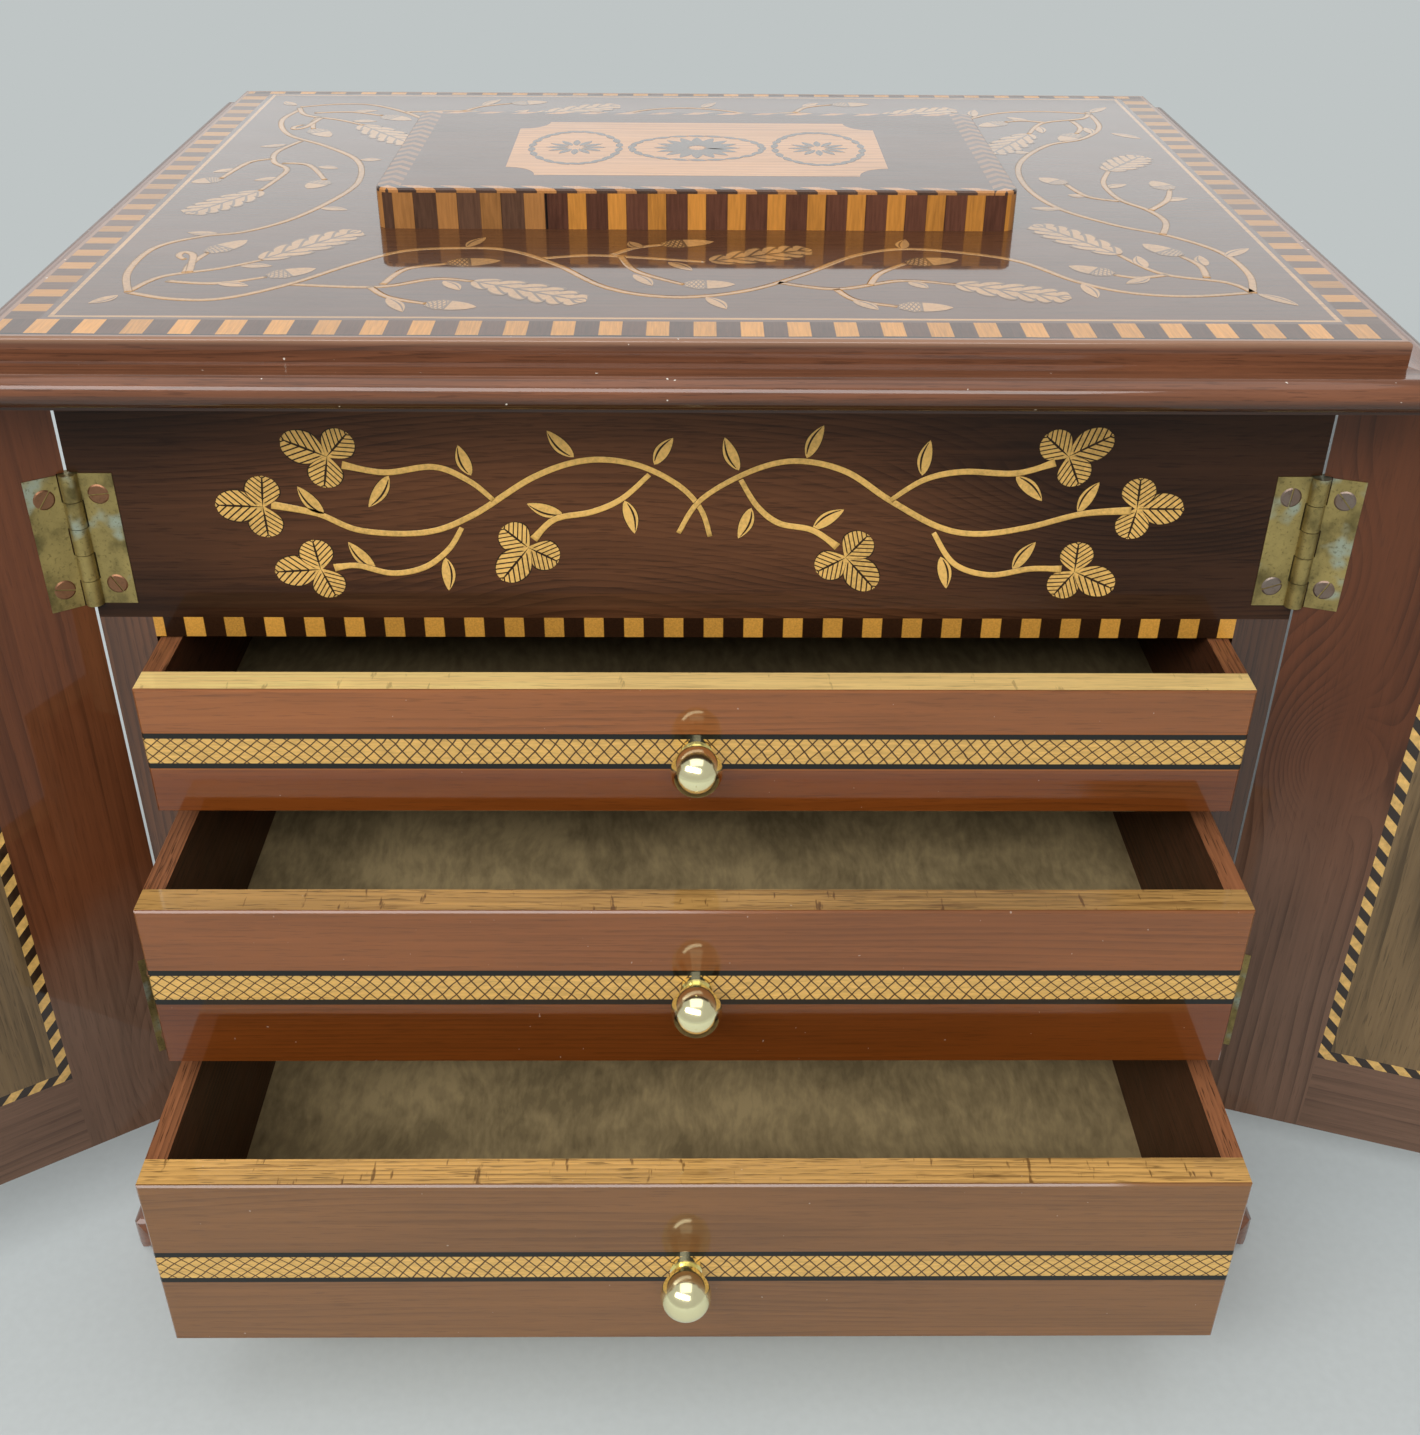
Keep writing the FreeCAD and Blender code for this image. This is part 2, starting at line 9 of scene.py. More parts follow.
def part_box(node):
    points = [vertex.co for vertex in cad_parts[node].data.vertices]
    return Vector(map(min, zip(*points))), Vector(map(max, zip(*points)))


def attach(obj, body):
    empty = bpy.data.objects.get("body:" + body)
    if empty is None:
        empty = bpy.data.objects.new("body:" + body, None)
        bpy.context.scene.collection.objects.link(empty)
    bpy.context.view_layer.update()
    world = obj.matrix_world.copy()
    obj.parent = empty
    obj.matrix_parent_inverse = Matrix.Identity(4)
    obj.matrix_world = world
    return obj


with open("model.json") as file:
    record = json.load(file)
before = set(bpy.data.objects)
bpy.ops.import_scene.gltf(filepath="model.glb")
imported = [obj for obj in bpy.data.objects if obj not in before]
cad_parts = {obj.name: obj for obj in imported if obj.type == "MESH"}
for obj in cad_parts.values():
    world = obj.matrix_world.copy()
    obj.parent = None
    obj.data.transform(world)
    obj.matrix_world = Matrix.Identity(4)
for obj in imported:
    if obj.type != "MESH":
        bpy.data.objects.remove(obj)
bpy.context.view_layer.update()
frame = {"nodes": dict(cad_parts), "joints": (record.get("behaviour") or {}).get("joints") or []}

bl_info = {
    "name": "Inlaid jewellery casket",
    "version": (1, 0, 0),
    "blender": (4, 5, 0),
    "location": "View3D > Sidebar > Casket",
    "description": "Dresses an inlaid table casket: polished timbers, bandings, inlay, brass and a studio",
    "category": "Object",
}

NODES = frame["nodes"]


def linear(text):
    """A colour written as sRGB hex, turned linear, with full alpha."""
    values = [int(text[i:i + 2], 16) / 255 for i in (1, 3, 5)]
    return tuple(v / 12.92 if v <= 0.04045 else ((v + 0.055) / 1.055) ** 2.4 for v in values) + (1.0,)


def mm(*values):
    """Millimetres to metres: one number alone, or several as a tuple."""
    scaled = tuple(v / 1000 for v in values)
    return scaled if len(scaled) > 1 else scaled[0]


# Places taken from the casket's own pieces, in metres
FRIEZE_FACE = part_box("frieze")[0].y
LID_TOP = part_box("lid_board")[1].z
BLOCK_LOW, BLOCK_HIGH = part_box("lid_block_panel")
BANDING_LOW, BANDING_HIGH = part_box("lid_banding")
DOOR_AXIS = {j["child"].split("_")[0]: Vector(j["pos_m"]) for j in frame["joints"] if "door" in j["name"]}

# How far each door stands open, in degrees, which side it is on, and the drawers from the top down
DOOR_REST = {"left": 147.0, "right": 161.5}
SIDE_SIGN = {"left": -1, "right": 1}
LEVELS = ("top", "middle", "bottom")

# How far apart the patterns' blocks and lines lie, in millimetres
CHEQUER_PITCH = 11.07
BANDING_PITCH = 11.35
BLOCK_PITCH = 11.25
WORN_PITCH = 12.3
ROPE_PITCH = 7.6
LATTICE_PITCH = 3.9

# How much higher each piece of inlay lies than the last, in millimetres, so that none share a plane
NEXT_LEAF = 0.002
NEXT_LID_STEM = 0.001
NEXT_FRIEZE_STEM = 0.006

# The inlaid veneer's thickness, and the length of a door's hinge
VENEER = mm(0.2)
HINGE_LENGTH = mm(38.5)

# How a mask rises: smoothly
SMOOTH = {"interpolation_type": "SMOOTHSTEP"}


def add_node(tree, kind, inputs=(), output="", stops=(), **settings):
    """Adds a node with its settings. Returns its first output, or the one named, or all of them for None.

    Its inputs are values or the sockets that feed them, by name or in the order of those in use. The
    stops of a colour ramp are pairs of position and colour.
    """
    node = tree.nodes.new(kind if "Node" in kind else "ShaderNode" + kind)
    for name, value in settings.items():
        setattr(node, name, value)
    while stops and len(node.color_ramp.elements) < len(stops):
        node.color_ramp.elements.new(0.5)
    for number, (position, colour) in enumerate(stops):
        node.color_ramp.elements[number].position = position
        node.color_ramp.elements[number].color = colour
    in_use = [socket for socket in node.inputs if socket.enabled]
    for key, item in inputs.items() if isinstance(inputs, dict) else enumerate(inputs):
        socket = node.inputs[key] if isinstance(key, str) else in_use[key]
        if isinstance(item, bpy.types.NodeSocket):
            tree.links.new(socket, item)
        else:
            socket.default_value = item
    if output is None:
        return node.outputs
    if output:
        return node.outputs[output]
    return next((socket for socket in node.outputs if socket.enabled), None)


# Settings that a user would change

class CasketColours(bpy.types.PropertyGroup):
    """The polished colour of each timber, metal and inlay."""
    walnut: bpy.props.FloatVectorProperty(
        name="Walnut", description="Case, lid and block", subtype="COLOR", size=4,
        default=linear("#4C2E1A"))
    mahogany: bpy.props.FloatVectorProperty(
        name="Mahogany", description="Mouldings", subtype="COLOR", size=4, default=linear("#72462E"))
    door_wood: bpy.props.FloatVectorProperty(
        name="Door frame", description="Stiles and rails", subtype="COLOR", size=4,
        default=linear("#64381F"))
    door_panel: bpy.props.FloatVectorProperty(
        name="Door panel", description="Flush panels", subtype="COLOR", size=4, default=linear("#6F5A3E"))
    yew: bpy.props.FloatVectorProperty(
        name="Yew", description="Drawer fronts", subtype="COLOR", size=4, default=linear("#905529"))
    # Yew below the drawers' bands, darker and redder: painted shade
    yew_shaded_low: bpy.props.FloatVectorProperty(
        name="Yew in painted shade", description="Drawer fronts below the band", subtype="COLOR", size=4,
        default=linear("#703810"))
    yew_faded: bpy.props.FloatVectorProperty(
        name="Faded yew", description="Front of the lowest drawer", subtype="COLOR", size=4,
        default=linear("#86592F"))
    ash: bpy.props.FloatVectorProperty(
        name="Ash", description="Top edges of the drawer fronts", subtype="COLOR", size=4,
        default=linear("#C79A58"))
    lining: bpy.props.FloatVectorProperty(
        name="Drawer bottom", description="Curly maple, unpolished", subtype="COLOR", size=4,
        default=linear("#B59F74"))
    boxwood: bpy.props.FloatVectorProperty(
        name="Boxwood", description="Pale inlay", subtype="COLOR", size=4, default=linear("#E6B766"))
    ebonised: bpy.props.FloatVectorProperty(
        name="Ebonised wood", description="Dark blocks and lines", subtype="COLOR", size=4,
        default=linear("#33200F"))
    brass: bpy.props.FloatVectorProperty(
        name="Polished brass", description="Knobs", subtype="COLOR", size=4, default=linear("#FFF6C4"))
    old_brass: bpy.props.FloatVectorProperty(
        name="Aged brass", description="Hinges", subtype="COLOR", size=4, default=linear("#A08E58"))


class CasketInlaySizes(bpy.types.PropertyGroup):
    """Sizes of the inlay."""
    proud: bpy.props.FloatProperty(
        name="Proud", description="How far the inlay stands above the wood", unit="LENGTH",
        default=mm(0.02))
    frieze_stem: bpy.props.FloatProperty(
        name="Frieze stem", description="Width of the stems on the frieze", unit="LENGTH", default=mm(1.9))
    lid_stem: bpy.props.FloatProperty(
        name="Lid stem", description="Width of the stems on the lid", unit="LENGTH", default=mm(2.1))


class CasketHingeSizes(bpy.types.PropertyGroup):
    """Sizes of the hinges' screws."""
    head: bpy.props.FloatProperty(
        name="Head", description="Diameter of a screw's head", unit="LENGTH", default=mm(5.8))
    from_axis: bpy.props.FloatProperty(
        name="From axis", description="Screws' distance from the pin", unit="LENGTH", default=mm(7.0))
    from_centre: bpy.props.FloatProperty(
        name="From centre", description="Screws' distance from the hinge's middle", unit="LENGTH",
        default=mm(13.3))


class CasketStageSettings(bpy.types.PropertyGroup):
    """The studio."""
    lens: bpy.props.FloatProperty(
        name="Lens", description="Focal length on a 36 mm sensor", unit="CAMERA", default=40.85)
    camera_place: bpy.props.FloatVectorProperty(
        name="Camera", description="Where the camera stands", unit="LENGTH", subtype="XYZ",
        default=mm(-1.21, -505.33, 439.3))
    pitch: bpy.props.FloatProperty(
        name="Pitch", description="How far the camera looks down", unit="ROTATION",
        default=math.radians(32.70))
    yaw: bpy.props.FloatProperty(
        name="Yaw", description="How far the camera turns to the right", unit="ROTATION", default=0.0131)
    roll: bpy.props.FloatProperty(
        name="Roll", description="How far the camera leans", unit="ROTATION", default=0.0085)
    floor_colour: bpy.props.FloatVectorProperty(
        name="Floor", description="Colour of floor and backdrop", subtype="COLOR", size=4,
        default=linear("#BFC5C5"))
    top_power: bpy.props.FloatProperty(
        name="Top softbox", description="Power of the lamp overhead", unit="POWER", default=10.0)
    back_power: bpy.props.FloatProperty(
        name="Back panel", description="Power of the panel behind", unit="POWER", default=7.5)
    front_power: bpy.props.FloatProperty(
        name="Front softbox", description="Power of the lamp above and in front", unit="POWER",
        default=34.0)
    sky: bpy.props.FloatProperty(
        name="Room light", description="Strength of the room's own light", default=0.5)
    plain_from: bpy.props.FloatProperty(
        name="Plain from", description="How far from the casket the backdrop turns plain", unit="LENGTH",
        default=0.6)


# Patterns. Each works in millimetres, on a place whose X runs along the fibres.

def grain_place(tree, along="X", door=None, shift=(0.0, 0.0, 0.0)):
    """Where a point lies in its board, in millimetres, with X along the fibres.

    For a door, the place is first turned back to the closed door, hinge axis at the origin.
    """
    place = add_node(tree, "TexCoord", output="Object")
    if door:
        turn = Matrix.Rotation(math.radians(-SIDE_SIGN[door] * DOOR_REST[door]), 3, "Z")
        place = add_node(tree, "Mapping", {
            "Location": -(turn @ DOOR_AXIS[door]), "Rotation": turn.to_euler(), "Vector": place})
    turned = {"X": (0, 0, 0), "Y": (0, 0, -math.pi / 2), "Z": (0, math.pi / 2, 0)}[along]
    return add_node(tree, "Mapping", {
        "Scale": (1000, 1000, 1000), "Rotation": turned, "Location": shift, "Vector": place})


def stretched_noise(tree, place, size, detail=3.0, roughness=0.5):
    """Noise whose features are as large as size (along, across, deep) in millimetres."""
    scaled = add_node(tree, "Mapping", {"Scale": tuple(1 / s for s in size), "Vector": place})
    return add_node(tree, "TexNoise", {
        "Scale": 1.0, "Detail": detail, "Roughness": roughness, "Vector": scaled}, "Fac")


def shade(colour, amount):
    """A colour value made darker or lighter."""
    return tuple(min(1.0, c * amount) for c in colour[:3]) + (1.0,)


def band_mask(tree, value, low, high):
    """1 where a value lies between two limits."""
    above = add_node(tree, "Math", (value, low), operation="GREATER_THAN")
    below = add_node(tree, "Math", (value, high), operation="LESS_THAN")
    return add_node(tree, "Math", (above, below), operation="MULTIPLY")


def timber(tree, place, colour, ring=2.6, wander=9.0, rings=0.3, contrast=0.4, pores=0.5, cloud=0.7,
           knots=()):
    """Sawn timber: wandering growth rings, streaks, a cloudy figure and pores. Returns colour and height.

    The pores are drawn a few times as wide as real ones, so that they show. A knot is its place along and
    deep, its radius in millimetres, and the rings it throws up. It is longer along the fibres.
    """
    knot_stretch = 1.5
    parts = add_node(tree, "SeparateXYZ", (place,), None)
    field = stretched_noise(tree, place, (300, 42, 42), 2.0, 0.4)
    phase = add_node(tree, "Math", (parts["Y"], parts["Z"]), operation="ADD")
    phase = add_node(tree, "Math", (phase, ring), operation="DIVIDE")
    field = add_node(tree, "Math", (field, wander), operation="MULTIPLY")
    phase = add_node(tree, "Math", (phase, field), operation="ADD")
    for along, deep, radius, thrown in knots:
        away = add_node(tree, "Mapping", {
            "Location": (-along / radius / knot_stretch, 0, -deep / radius),
            "Scale": (1 / radius / knot_stretch, 0, 1 / radius), "Vector": place})
        away = add_node(tree, "VectorMath", (away, (0, 0, 0)), "Value", operation="DISTANCE")
        hill = add_node(tree, "Math", (away, 2.0), operation="POWER")
        hill = add_node(tree, "Math", (hill, -1.0), operation="MULTIPLY")
        hill = add_node(tree, "Math", (hill,), operation="EXPONENT")
        hill = add_node(tree, "Math", (hill, thrown), operation="MULTIPLY")
        phase = add_node(tree, "Math", (phase, hill), operation="ADD")
    late = add_node(tree, "Math", (phase,), operation="FRACT")
    late = add_node(tree, "Math", (late, 2.5), operation="POWER")
    patches = stretched_noise(tree, place, (110, 15, 15), 2.0)
    fade = add_node(tree, "MapRange", (patches, 0.36, 0.62), **SMOOTH)
    late = add_node(tree, "Math", (late, fade), operation="MULTIPLY")
    ring_tone = add_node(tree, "Math", (0.68, late), operation="SUBTRACT")
    streak = stretched_noise(tree, place, (60, 1.5, 1.5), 5.0, 0.62)
    tone = add_node(tree, "Mix", (rings, streak, ring_tone), data_type="FLOAT")
    board = stretched_noise(tree, place, (150, 30, 30), 3.0, 0.55)
    board = add_node(tree, "Math", (board, 0.5), operation="SUBTRACT")
    board = add_node(tree, "Math", (board, cloud), operation="MULTIPLY")
    tone = add_node(tree, "Math", (tone, board), operation="ADD")
    body = add_node(tree, "ValToRGB", (tone,), stops=[
        (0.25, shade(colour, 1 - contrast)), (0.5, colour), (0.78, shade(colour, 1 + contrast * 0.8))])
    pore = stretched_noise(tree, place, (9, 0.45, 0.45), 2.0, 0.5)
    pore = add_node(tree, "MapRange", (pore, 0.57, 0.68), **SMOOTH)
    pore = add_node(tree, "Math", (pore, pores), operation="MULTIPLY")
    body = add_node(tree, "Mix", (pore, body, shade(colour, 0.35)), data_type="RGBA")
    height = add_node(tree, "Math", (streak, 0.4), operation="MULTIPLY")
    return body, add_node(tree, "Math", (height, pore), operation="SUBTRACT")


def polished(name, colour_of, roughness=0.4, gloss=0.045, coat=1.0, relief=0.06, waviness=0.012, dust=0.0):
    """Clear, thin French polish, a little wavy, over the colour and height from colour_of(tree).

    The dust in it is drawn coarser than real dust, so that it shows.
    """
    material = bpy.data.materials.new(name)
    material.use_nodes = True
    tree = material.node_tree
    tree.nodes.clear()
    colour, height = colour_of(tree)
    place = grain_place(tree)
    specks = stretched_noise(tree, place, (1.3, 1.3, 1.3), 0.0)
    specks = add_node(tree, "MapRange", (specks, 0.87, 0.885), **SMOOTH)
    specks = add_node(tree, "Math", (specks, dust), operation="MULTIPLY")
    colour = add_node(tree, "Mix", (specks, colour, linear("#E8E0D2")), data_type="RGBA")
    rub = stretched_noise(tree, place, (30, 14, 14), 4.0, 0.6)
    rough = add_node(tree, "MapRange", {
        "To Min": roughness - 0.08, "To Max": roughness + 0.1, "Value": rub})
    bump = add_node(tree, "Bump", {"Strength": relief, "Distance": mm(0.25), "Height": height})
    ripple = stretched_noise(tree, place, (16, 16, 16), 2.0, 0.5)
    film = add_node(tree, "Bump", {"Strength": waviness, "Distance": mm(1.0), "Height": ripple})
    shader = add_node(tree, "BsdfPrincipled", {
        "Coat Weight": coat, "Coat Roughness": gloss, "Coat IOR": 1.52, "Specular IOR Level": 0.08,
        "Base Color": colour, "Roughness": rough, "Normal": bump, "Coat Normal": film})
    add_node(tree, "OutputMaterial", {"Surface": shader})
    return material


def dress(nodes, material):
    """Gives CAD nodes one material."""
    for name in nodes:
        for slot in NODES[name].material_slots:
            slot.material = material


# Inlay. Each piece of veneer knows where a point of it lies: inlay_along runs from 0 at its stalk to 1 at
# its tip and inlay_across from -1 to 1 between its edges. On a leaf, inlay_side is the distance from its
# middle line as a share of its length.

def new_tree(name, inputs):
    """An empty Geometry Nodes tree with its named inputs, and its two ends."""
    tree = bpy.data.node_groups.new(name, "GeometryNodeTree")
    tree.interface.new_socket("Geometry", in_out="INPUT", socket_type="NodeSocketGeometry")
    for label, kind in inputs.items():
        tree.interface.new_socket(label, in_out="INPUT", socket_type="NodeSocket" + kind)
    tree.interface.new_socket("Geometry", in_out="OUTPUT", socket_type="NodeSocketGeometry")
    return tree, tree.nodes.new("NodeGroupInput"), tree.nodes.new("NodeGroupOutput")


def ribbon_tree():
    """Lays a flat ribbon along each line: wider where it starts, narrower at its tip."""
    tree, given, out = new_tree("lay_ribbons", {
        "Width": "Float", "Flare": "Float", "Tip": "Float", "Material": "Material"})
    along = add_node(tree, "GeometryNodeInputNamedAttribute", {"Name": "inlay_along"}, data_type="FLOAT")
    flare = add_node(tree, "MapRange", {
        "From Max": 0.1, "To Max": 1.0, "Value": along, "To Min": given.outputs["Flare"]})
    tip = add_node(tree, "MapRange", {
        "From Min": 0.6, "To Min": 1.0, "Value": along, "To Max": given.outputs["Tip"]})
    share = add_node(tree, "Math", (flare, tip), operation="MULTIPLY")
    width = add_node(tree, "Math", (share, given.outputs["Width"]), operation="MULTIPLY")
    curve = add_node(tree, "GeometryNodeMeshToCurve", {"Mesh": given.outputs["Geometry"]})
    curve = add_node(tree, "GeometryNodeCurveSplineType", {"Curve": curve}, spline_type="CATMULL_ROM")
    curve = add_node(tree, "GeometryNodeResampleCurve", {"Length": mm(1.2), "Curve": curve}, mode="LENGTH")
    curve = add_node(tree, "GeometryNodeSetCurveNormal", {"Curve": curve}, mode="Z_UP")
    line = add_node(tree, "GeometryNodeCurvePrimitiveLine", {"Start": (-0.5, 0, 0), "End": (0.5, 0, 0)})
    line = add_node(tree, "GeometryNodeResampleCurve", {"Count": 5, "Curve": line}, mode="COUNT")
    place = add_node(tree, "GeometryNodeInputPosition")
    across = add_node(tree, "SeparateXYZ", (place,), "X")
    across = add_node(tree, "Math", (across, 2.0), operation="MULTIPLY")
    line = add_node(tree, "GeometryNodeStoreNamedAttribute", {
        "Name": "inlay_across", "Geometry": line, "Value": across})
    mesh = add_node(tree, "GeometryNodeCurveToMesh", {
        "Curve": curve, "Profile Curve": line, "Scale": width})
    mesh = add_node(tree, "GeometryNodeRealizeInstances", {"Geometry": mesh})
    mesh = add_node(tree, "GeometryNodeSetMaterial", {
        "Geometry": mesh, "Material": given.outputs["Material"]})
    tree.links.new(out.inputs["Geometry"], mesh)
    return tree


def scatter_tree():
    """Sets one piece on every point, turned and stretched as the point says."""
    tree, given, out = new_tree("set_pieces", {"Piece": "Object", "Material": "Material"})
    piece = add_node(tree, "GeometryNodeObjectInfo", {"Object": given.outputs["Piece"]}, "Geometry")
    turn = add_node(tree, "GeometryNodeInputNamedAttribute", {"Name": "turn"}, data_type="FLOAT_VECTOR")
    spread = add_node(tree, "GeometryNodeInputNamedAttribute", {"Name": "spread"}, data_type="FLOAT_VECTOR")
    pieces = add_node(tree, "GeometryNodeInstanceOnPoints", {
        "Points": given.outputs["Geometry"], "Instance": piece, "Rotation": turn, "Scale": spread})
    pieces = add_node(tree, "GeometryNodeRealizeInstances", {"Geometry": pieces})
    pieces = add_node(tree, "GeometryNodeSetMaterial", {
        "Geometry": pieces, "Material": given.outputs["Material"]})
    tree.links.new(out.inputs["Geometry"], pieces)
    return tree


def finished(name, body, mesh, tree, settings, place, thickness=0.0):
    """Runs a tree on a mesh, keeps the result as a plain mesh in its place, and lets it ride on a body."""
    work = bpy.data.objects.new("work", mesh)
    bpy.context.scene.collection.objects.link(work)
    modifier = work.modifiers.new("tree", "NODES")
    modifier.node_group = tree
    for item in tree.interface.items_tree:
        if item.in_out == "INPUT" and item.name in settings:
            modifier[item.identifier] = settings[item.name]
    if thickness:
        solid = work.modifiers.new("thickness", "SOLIDIFY")
        solid.thickness = thickness
        solid.offset = -1.0
    depsgraph = bpy.context.evaluated_depsgraph_get()
    result = bpy.data.meshes.new_from_object(work.evaluated_get(depsgraph))
    bpy.data.objects.remove(work)
    result.transform(place)
    result.name = name
    piece = bpy.data.objects.new(name, result)
    bpy.context.scene.collection.objects.link(piece)
    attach(piece, body)
    return piece


def line_mesh(lines):
    """Points joined in lines, each point knowing how far along its line it is."""
    points, edges, along = [], [], []
    for line in lines:
        for number, point in enumerate(line):
            if number:
                edges.append((len(points) - 1, len(points)))
            points.append(mm(*point, 0.0) if len(point) == 2 else mm(*point))
            along.append(number / (len(line) - 1))
    mesh = bpy.data.meshes.new("lines")
    mesh.from_pydata(points, edges, [])
    mesh.attributes.new("inlay_along", "FLOAT", "POINT").data.foreach_set("value", along)
    return mesh


def point_mesh(rows):
    """Points with a turn and a stretch. A row is (place in mm, turn in radians, stretch in mm)."""
    mesh = bpy.data.meshes.new("points")
    mesh.from_pydata([mm(*place) for place, turn, spread in rows], [], [])
    for name, values in (("turn", [turn for place, turn, spread in rows]),
                         ("spread", [mm(*spread) for place, turn, spread in rows])):
        flat = [value for row in values for value in row]
        mesh.attributes.new(name, "FLOAT_VECTOR", "POINT").data.foreach_set("vector", flat)
    return mesh


def flat_rows(leaves, width, lift=0.0):
    """Rows for point_mesh from (x, y, degrees, length) in millimetres, one just above another."""
    return [((x, y, lift + NEXT_LEAF * (number % 5)), (0.0, 0.0, math.radians(turn)), (length, width, 1.0))
            for number, (x, y, turn, length) in enumerate(leaves)]


def veneer_piece(name, half_width, steps, slant=0.0, bow=0.0):
    """A flat piece one unit long on X, as wide as half_width says at each share of its length."""
    columns = (-1.0, -0.5, 0.0, 0.5, 1.0)
    points, across, along, side = [], [], [], []
    for row in range(steps + 1):
        share = row / steps
        half = max(half_width(share), 0.004)
        for column in columns:
            middle = bow * math.sin(math.pi * share)
            forward = slant * abs(column) * half * math.sin(math.pi * share)
            points.append((share + forward, middle + column * half, 0))
            across.append(column)
            along.append(share)
            side.append(column * half)
    count = len(columns)
    faces = [(row * count + i, (row + 1) * count + i, (row + 1) * count + i + 1, row * count + i + 1)
             for row in range(steps) for i in range(count - 1)]
    mesh = bpy.data.meshes.new(name)
    mesh.from_pydata(points, [], faces)
    for label, values in (("inlay_across", across), ("inlay_along", along), ("inlay_side", side)):
        mesh.attributes.new(label, "FLOAT", "POINT").data.foreach_set("value", values)
    return bpy.data.objects.new(name, mesh)


def leaf_half(share):
    """A pointed leaf."""
    return 0.5 * math.sin(math.pi * share ** 0.9) ** 0.8


def leaflet_half(share):
    """A trefoil's leaflet: narrow at the stalk, round at its end."""
    if share < 0.52:
        return 0.5 * (0.1 + 0.9 * math.sin(math.pi / 2 * share / 0.52))
    return 0.5 * math.sqrt(max(0.0, 1 - ((share - 0.52) / 0.48) ** 2))


def oak_half(share):
    """An oak leaf with six round lobes a side, widest past its middle."""
    outline = math.sin(math.pi * (0.06 + 0.8 * share ** 0.8)) ** 0.7
    lobe = abs(math.sin(6 * math.pi * share)) ** 0.5
    close = min(1.0, (1 - share) / 0.08) ** 0.5
    return 0.5 * outline * (0.62 + 0.38 * lobe) * close


def acorn_half(share):
    """An acorn: a cup over the first two fifths, then a nut that ends in a point."""
    if share < 0.42:
        return 0.5 * min(1.0, 0.45 + 2.2 * share) * (1 - 0.15 * (share / 0.42) ** 4)
    nut = (share - 0.42) / 0.58
    return 0.46 * (1 - nut ** 4) * (1 - 0.35 * nut) + 0.02


# A small leaf's outline, rows of faces, slant and bow
SMALL_LEAF = (leaf_half, 12, 0, 0.1)


def lay_lines(name, body, lines, lift, step, settings, place):
    """Lays a ribbon of veneer along each line, each one a step above the line before."""
    raised = [[(x, y, lift + step * number) for x, y in line] for number, line in enumerate(lines)]
    finished(name, body, line_mesh(raised), ribbon_tree(), settings, place, VENEER)


def lay_pieces(name, body, rows, shape, material, place, thickness=VENEER):
    """Lays pieces of one shape, then removes the pattern that they were cut from."""
    piece = veneer_piece(name + "_pattern", *shape)
    finished(name, body, point_mesh(rows), scatter_tree(), {
        "Piece": piece, "Material": material}, place, thickness)
    bpy.data.objects.remove(piece)


# Finishes

def walnut_finish(colours, name, along, coat=0.6, tone=1.0, **grain):
    """French-polished walnut: dark brown, fine wandering rings, open pores filled dark."""
    return polished(name, lambda tree: timber(
        tree, grain_place(tree, along), shade(colours.walnut, tone), **grain), coat=coat)


def chequer(tree, along, across_place, pitch, start, share, pale, dark, fibres=(0.5, 9, 0.5)):
    """Blocks of two woods in turn, dark glue in their joints. Returns colour and height."""
    run = add_node(tree, "Math", (along, start), operation="SUBTRACT")
    run = add_node(tree, "Math", (run, pitch), operation="DIVIDE")
    part = add_node(tree, "Math", (run,), operation="FRACT")
    is_pale = add_node(tree, "Math", (part, share), operation="LESS_THAN")
    number = add_node(tree, "Math", (run, 2.0), operation="MULTIPLY")
    number = add_node(tree, "Math", (number,), operation="FLOOR")
    chance = add_node(tree, "TexWhiteNoise", {"W": number}, "Value", noise_dimensions="1D")
    fibre = stretched_noise(tree, across_place, fibres, 4.0, 0.6)
    chance = add_node(tree, "Math", (chance, 0.35), operation="MULTIPLY")
    level = add_node(tree, "Math", (chance, fibre), operation="ADD")
    pale_tone = add_node(tree, "ValToRGB", (level,), stops=[
        (0.3, shade(pale, 0.62)), (0.75, pale), (1.0, shade(pale, 1.2))])
    dark_tone = add_node(tree, "ValToRGB", (level,), stops=[
        (0.3, shade(dark, 0.6)), (0.9, shade(dark, 1.5))])
    colour = add_node(tree, "Mix", (is_pale, dark_tone, pale_tone), data_type="RGBA")
    edge = add_node(tree, "Math", (part, share / 2), operation="SUBTRACT")
    edge = add_node(tree, "Math", (edge,), operation="ABSOLUTE")
    edge = add_node(tree, "Math", (edge, share / 2), operation="SUBTRACT")
    edge = add_node(tree, "Math", (edge,), operation="ABSOLUTE")
    gap = add_node(tree, "MapRange", (edge, 0.004, 0.016), **SMOOTH)
    gap = add_node(tree, "Math", (1.0, gap), operation="SUBTRACT")
    glue = add_node(tree, "Math", (gap, 0.7), operation="MULTIPLY")
    colour = add_node(tree, "Mix", (glue, colour, shade(dark, 0.3)), data_type="RGBA")
    return colour, add_node(tree, "Math", (fibre, gap), operation="SUBTRACT")


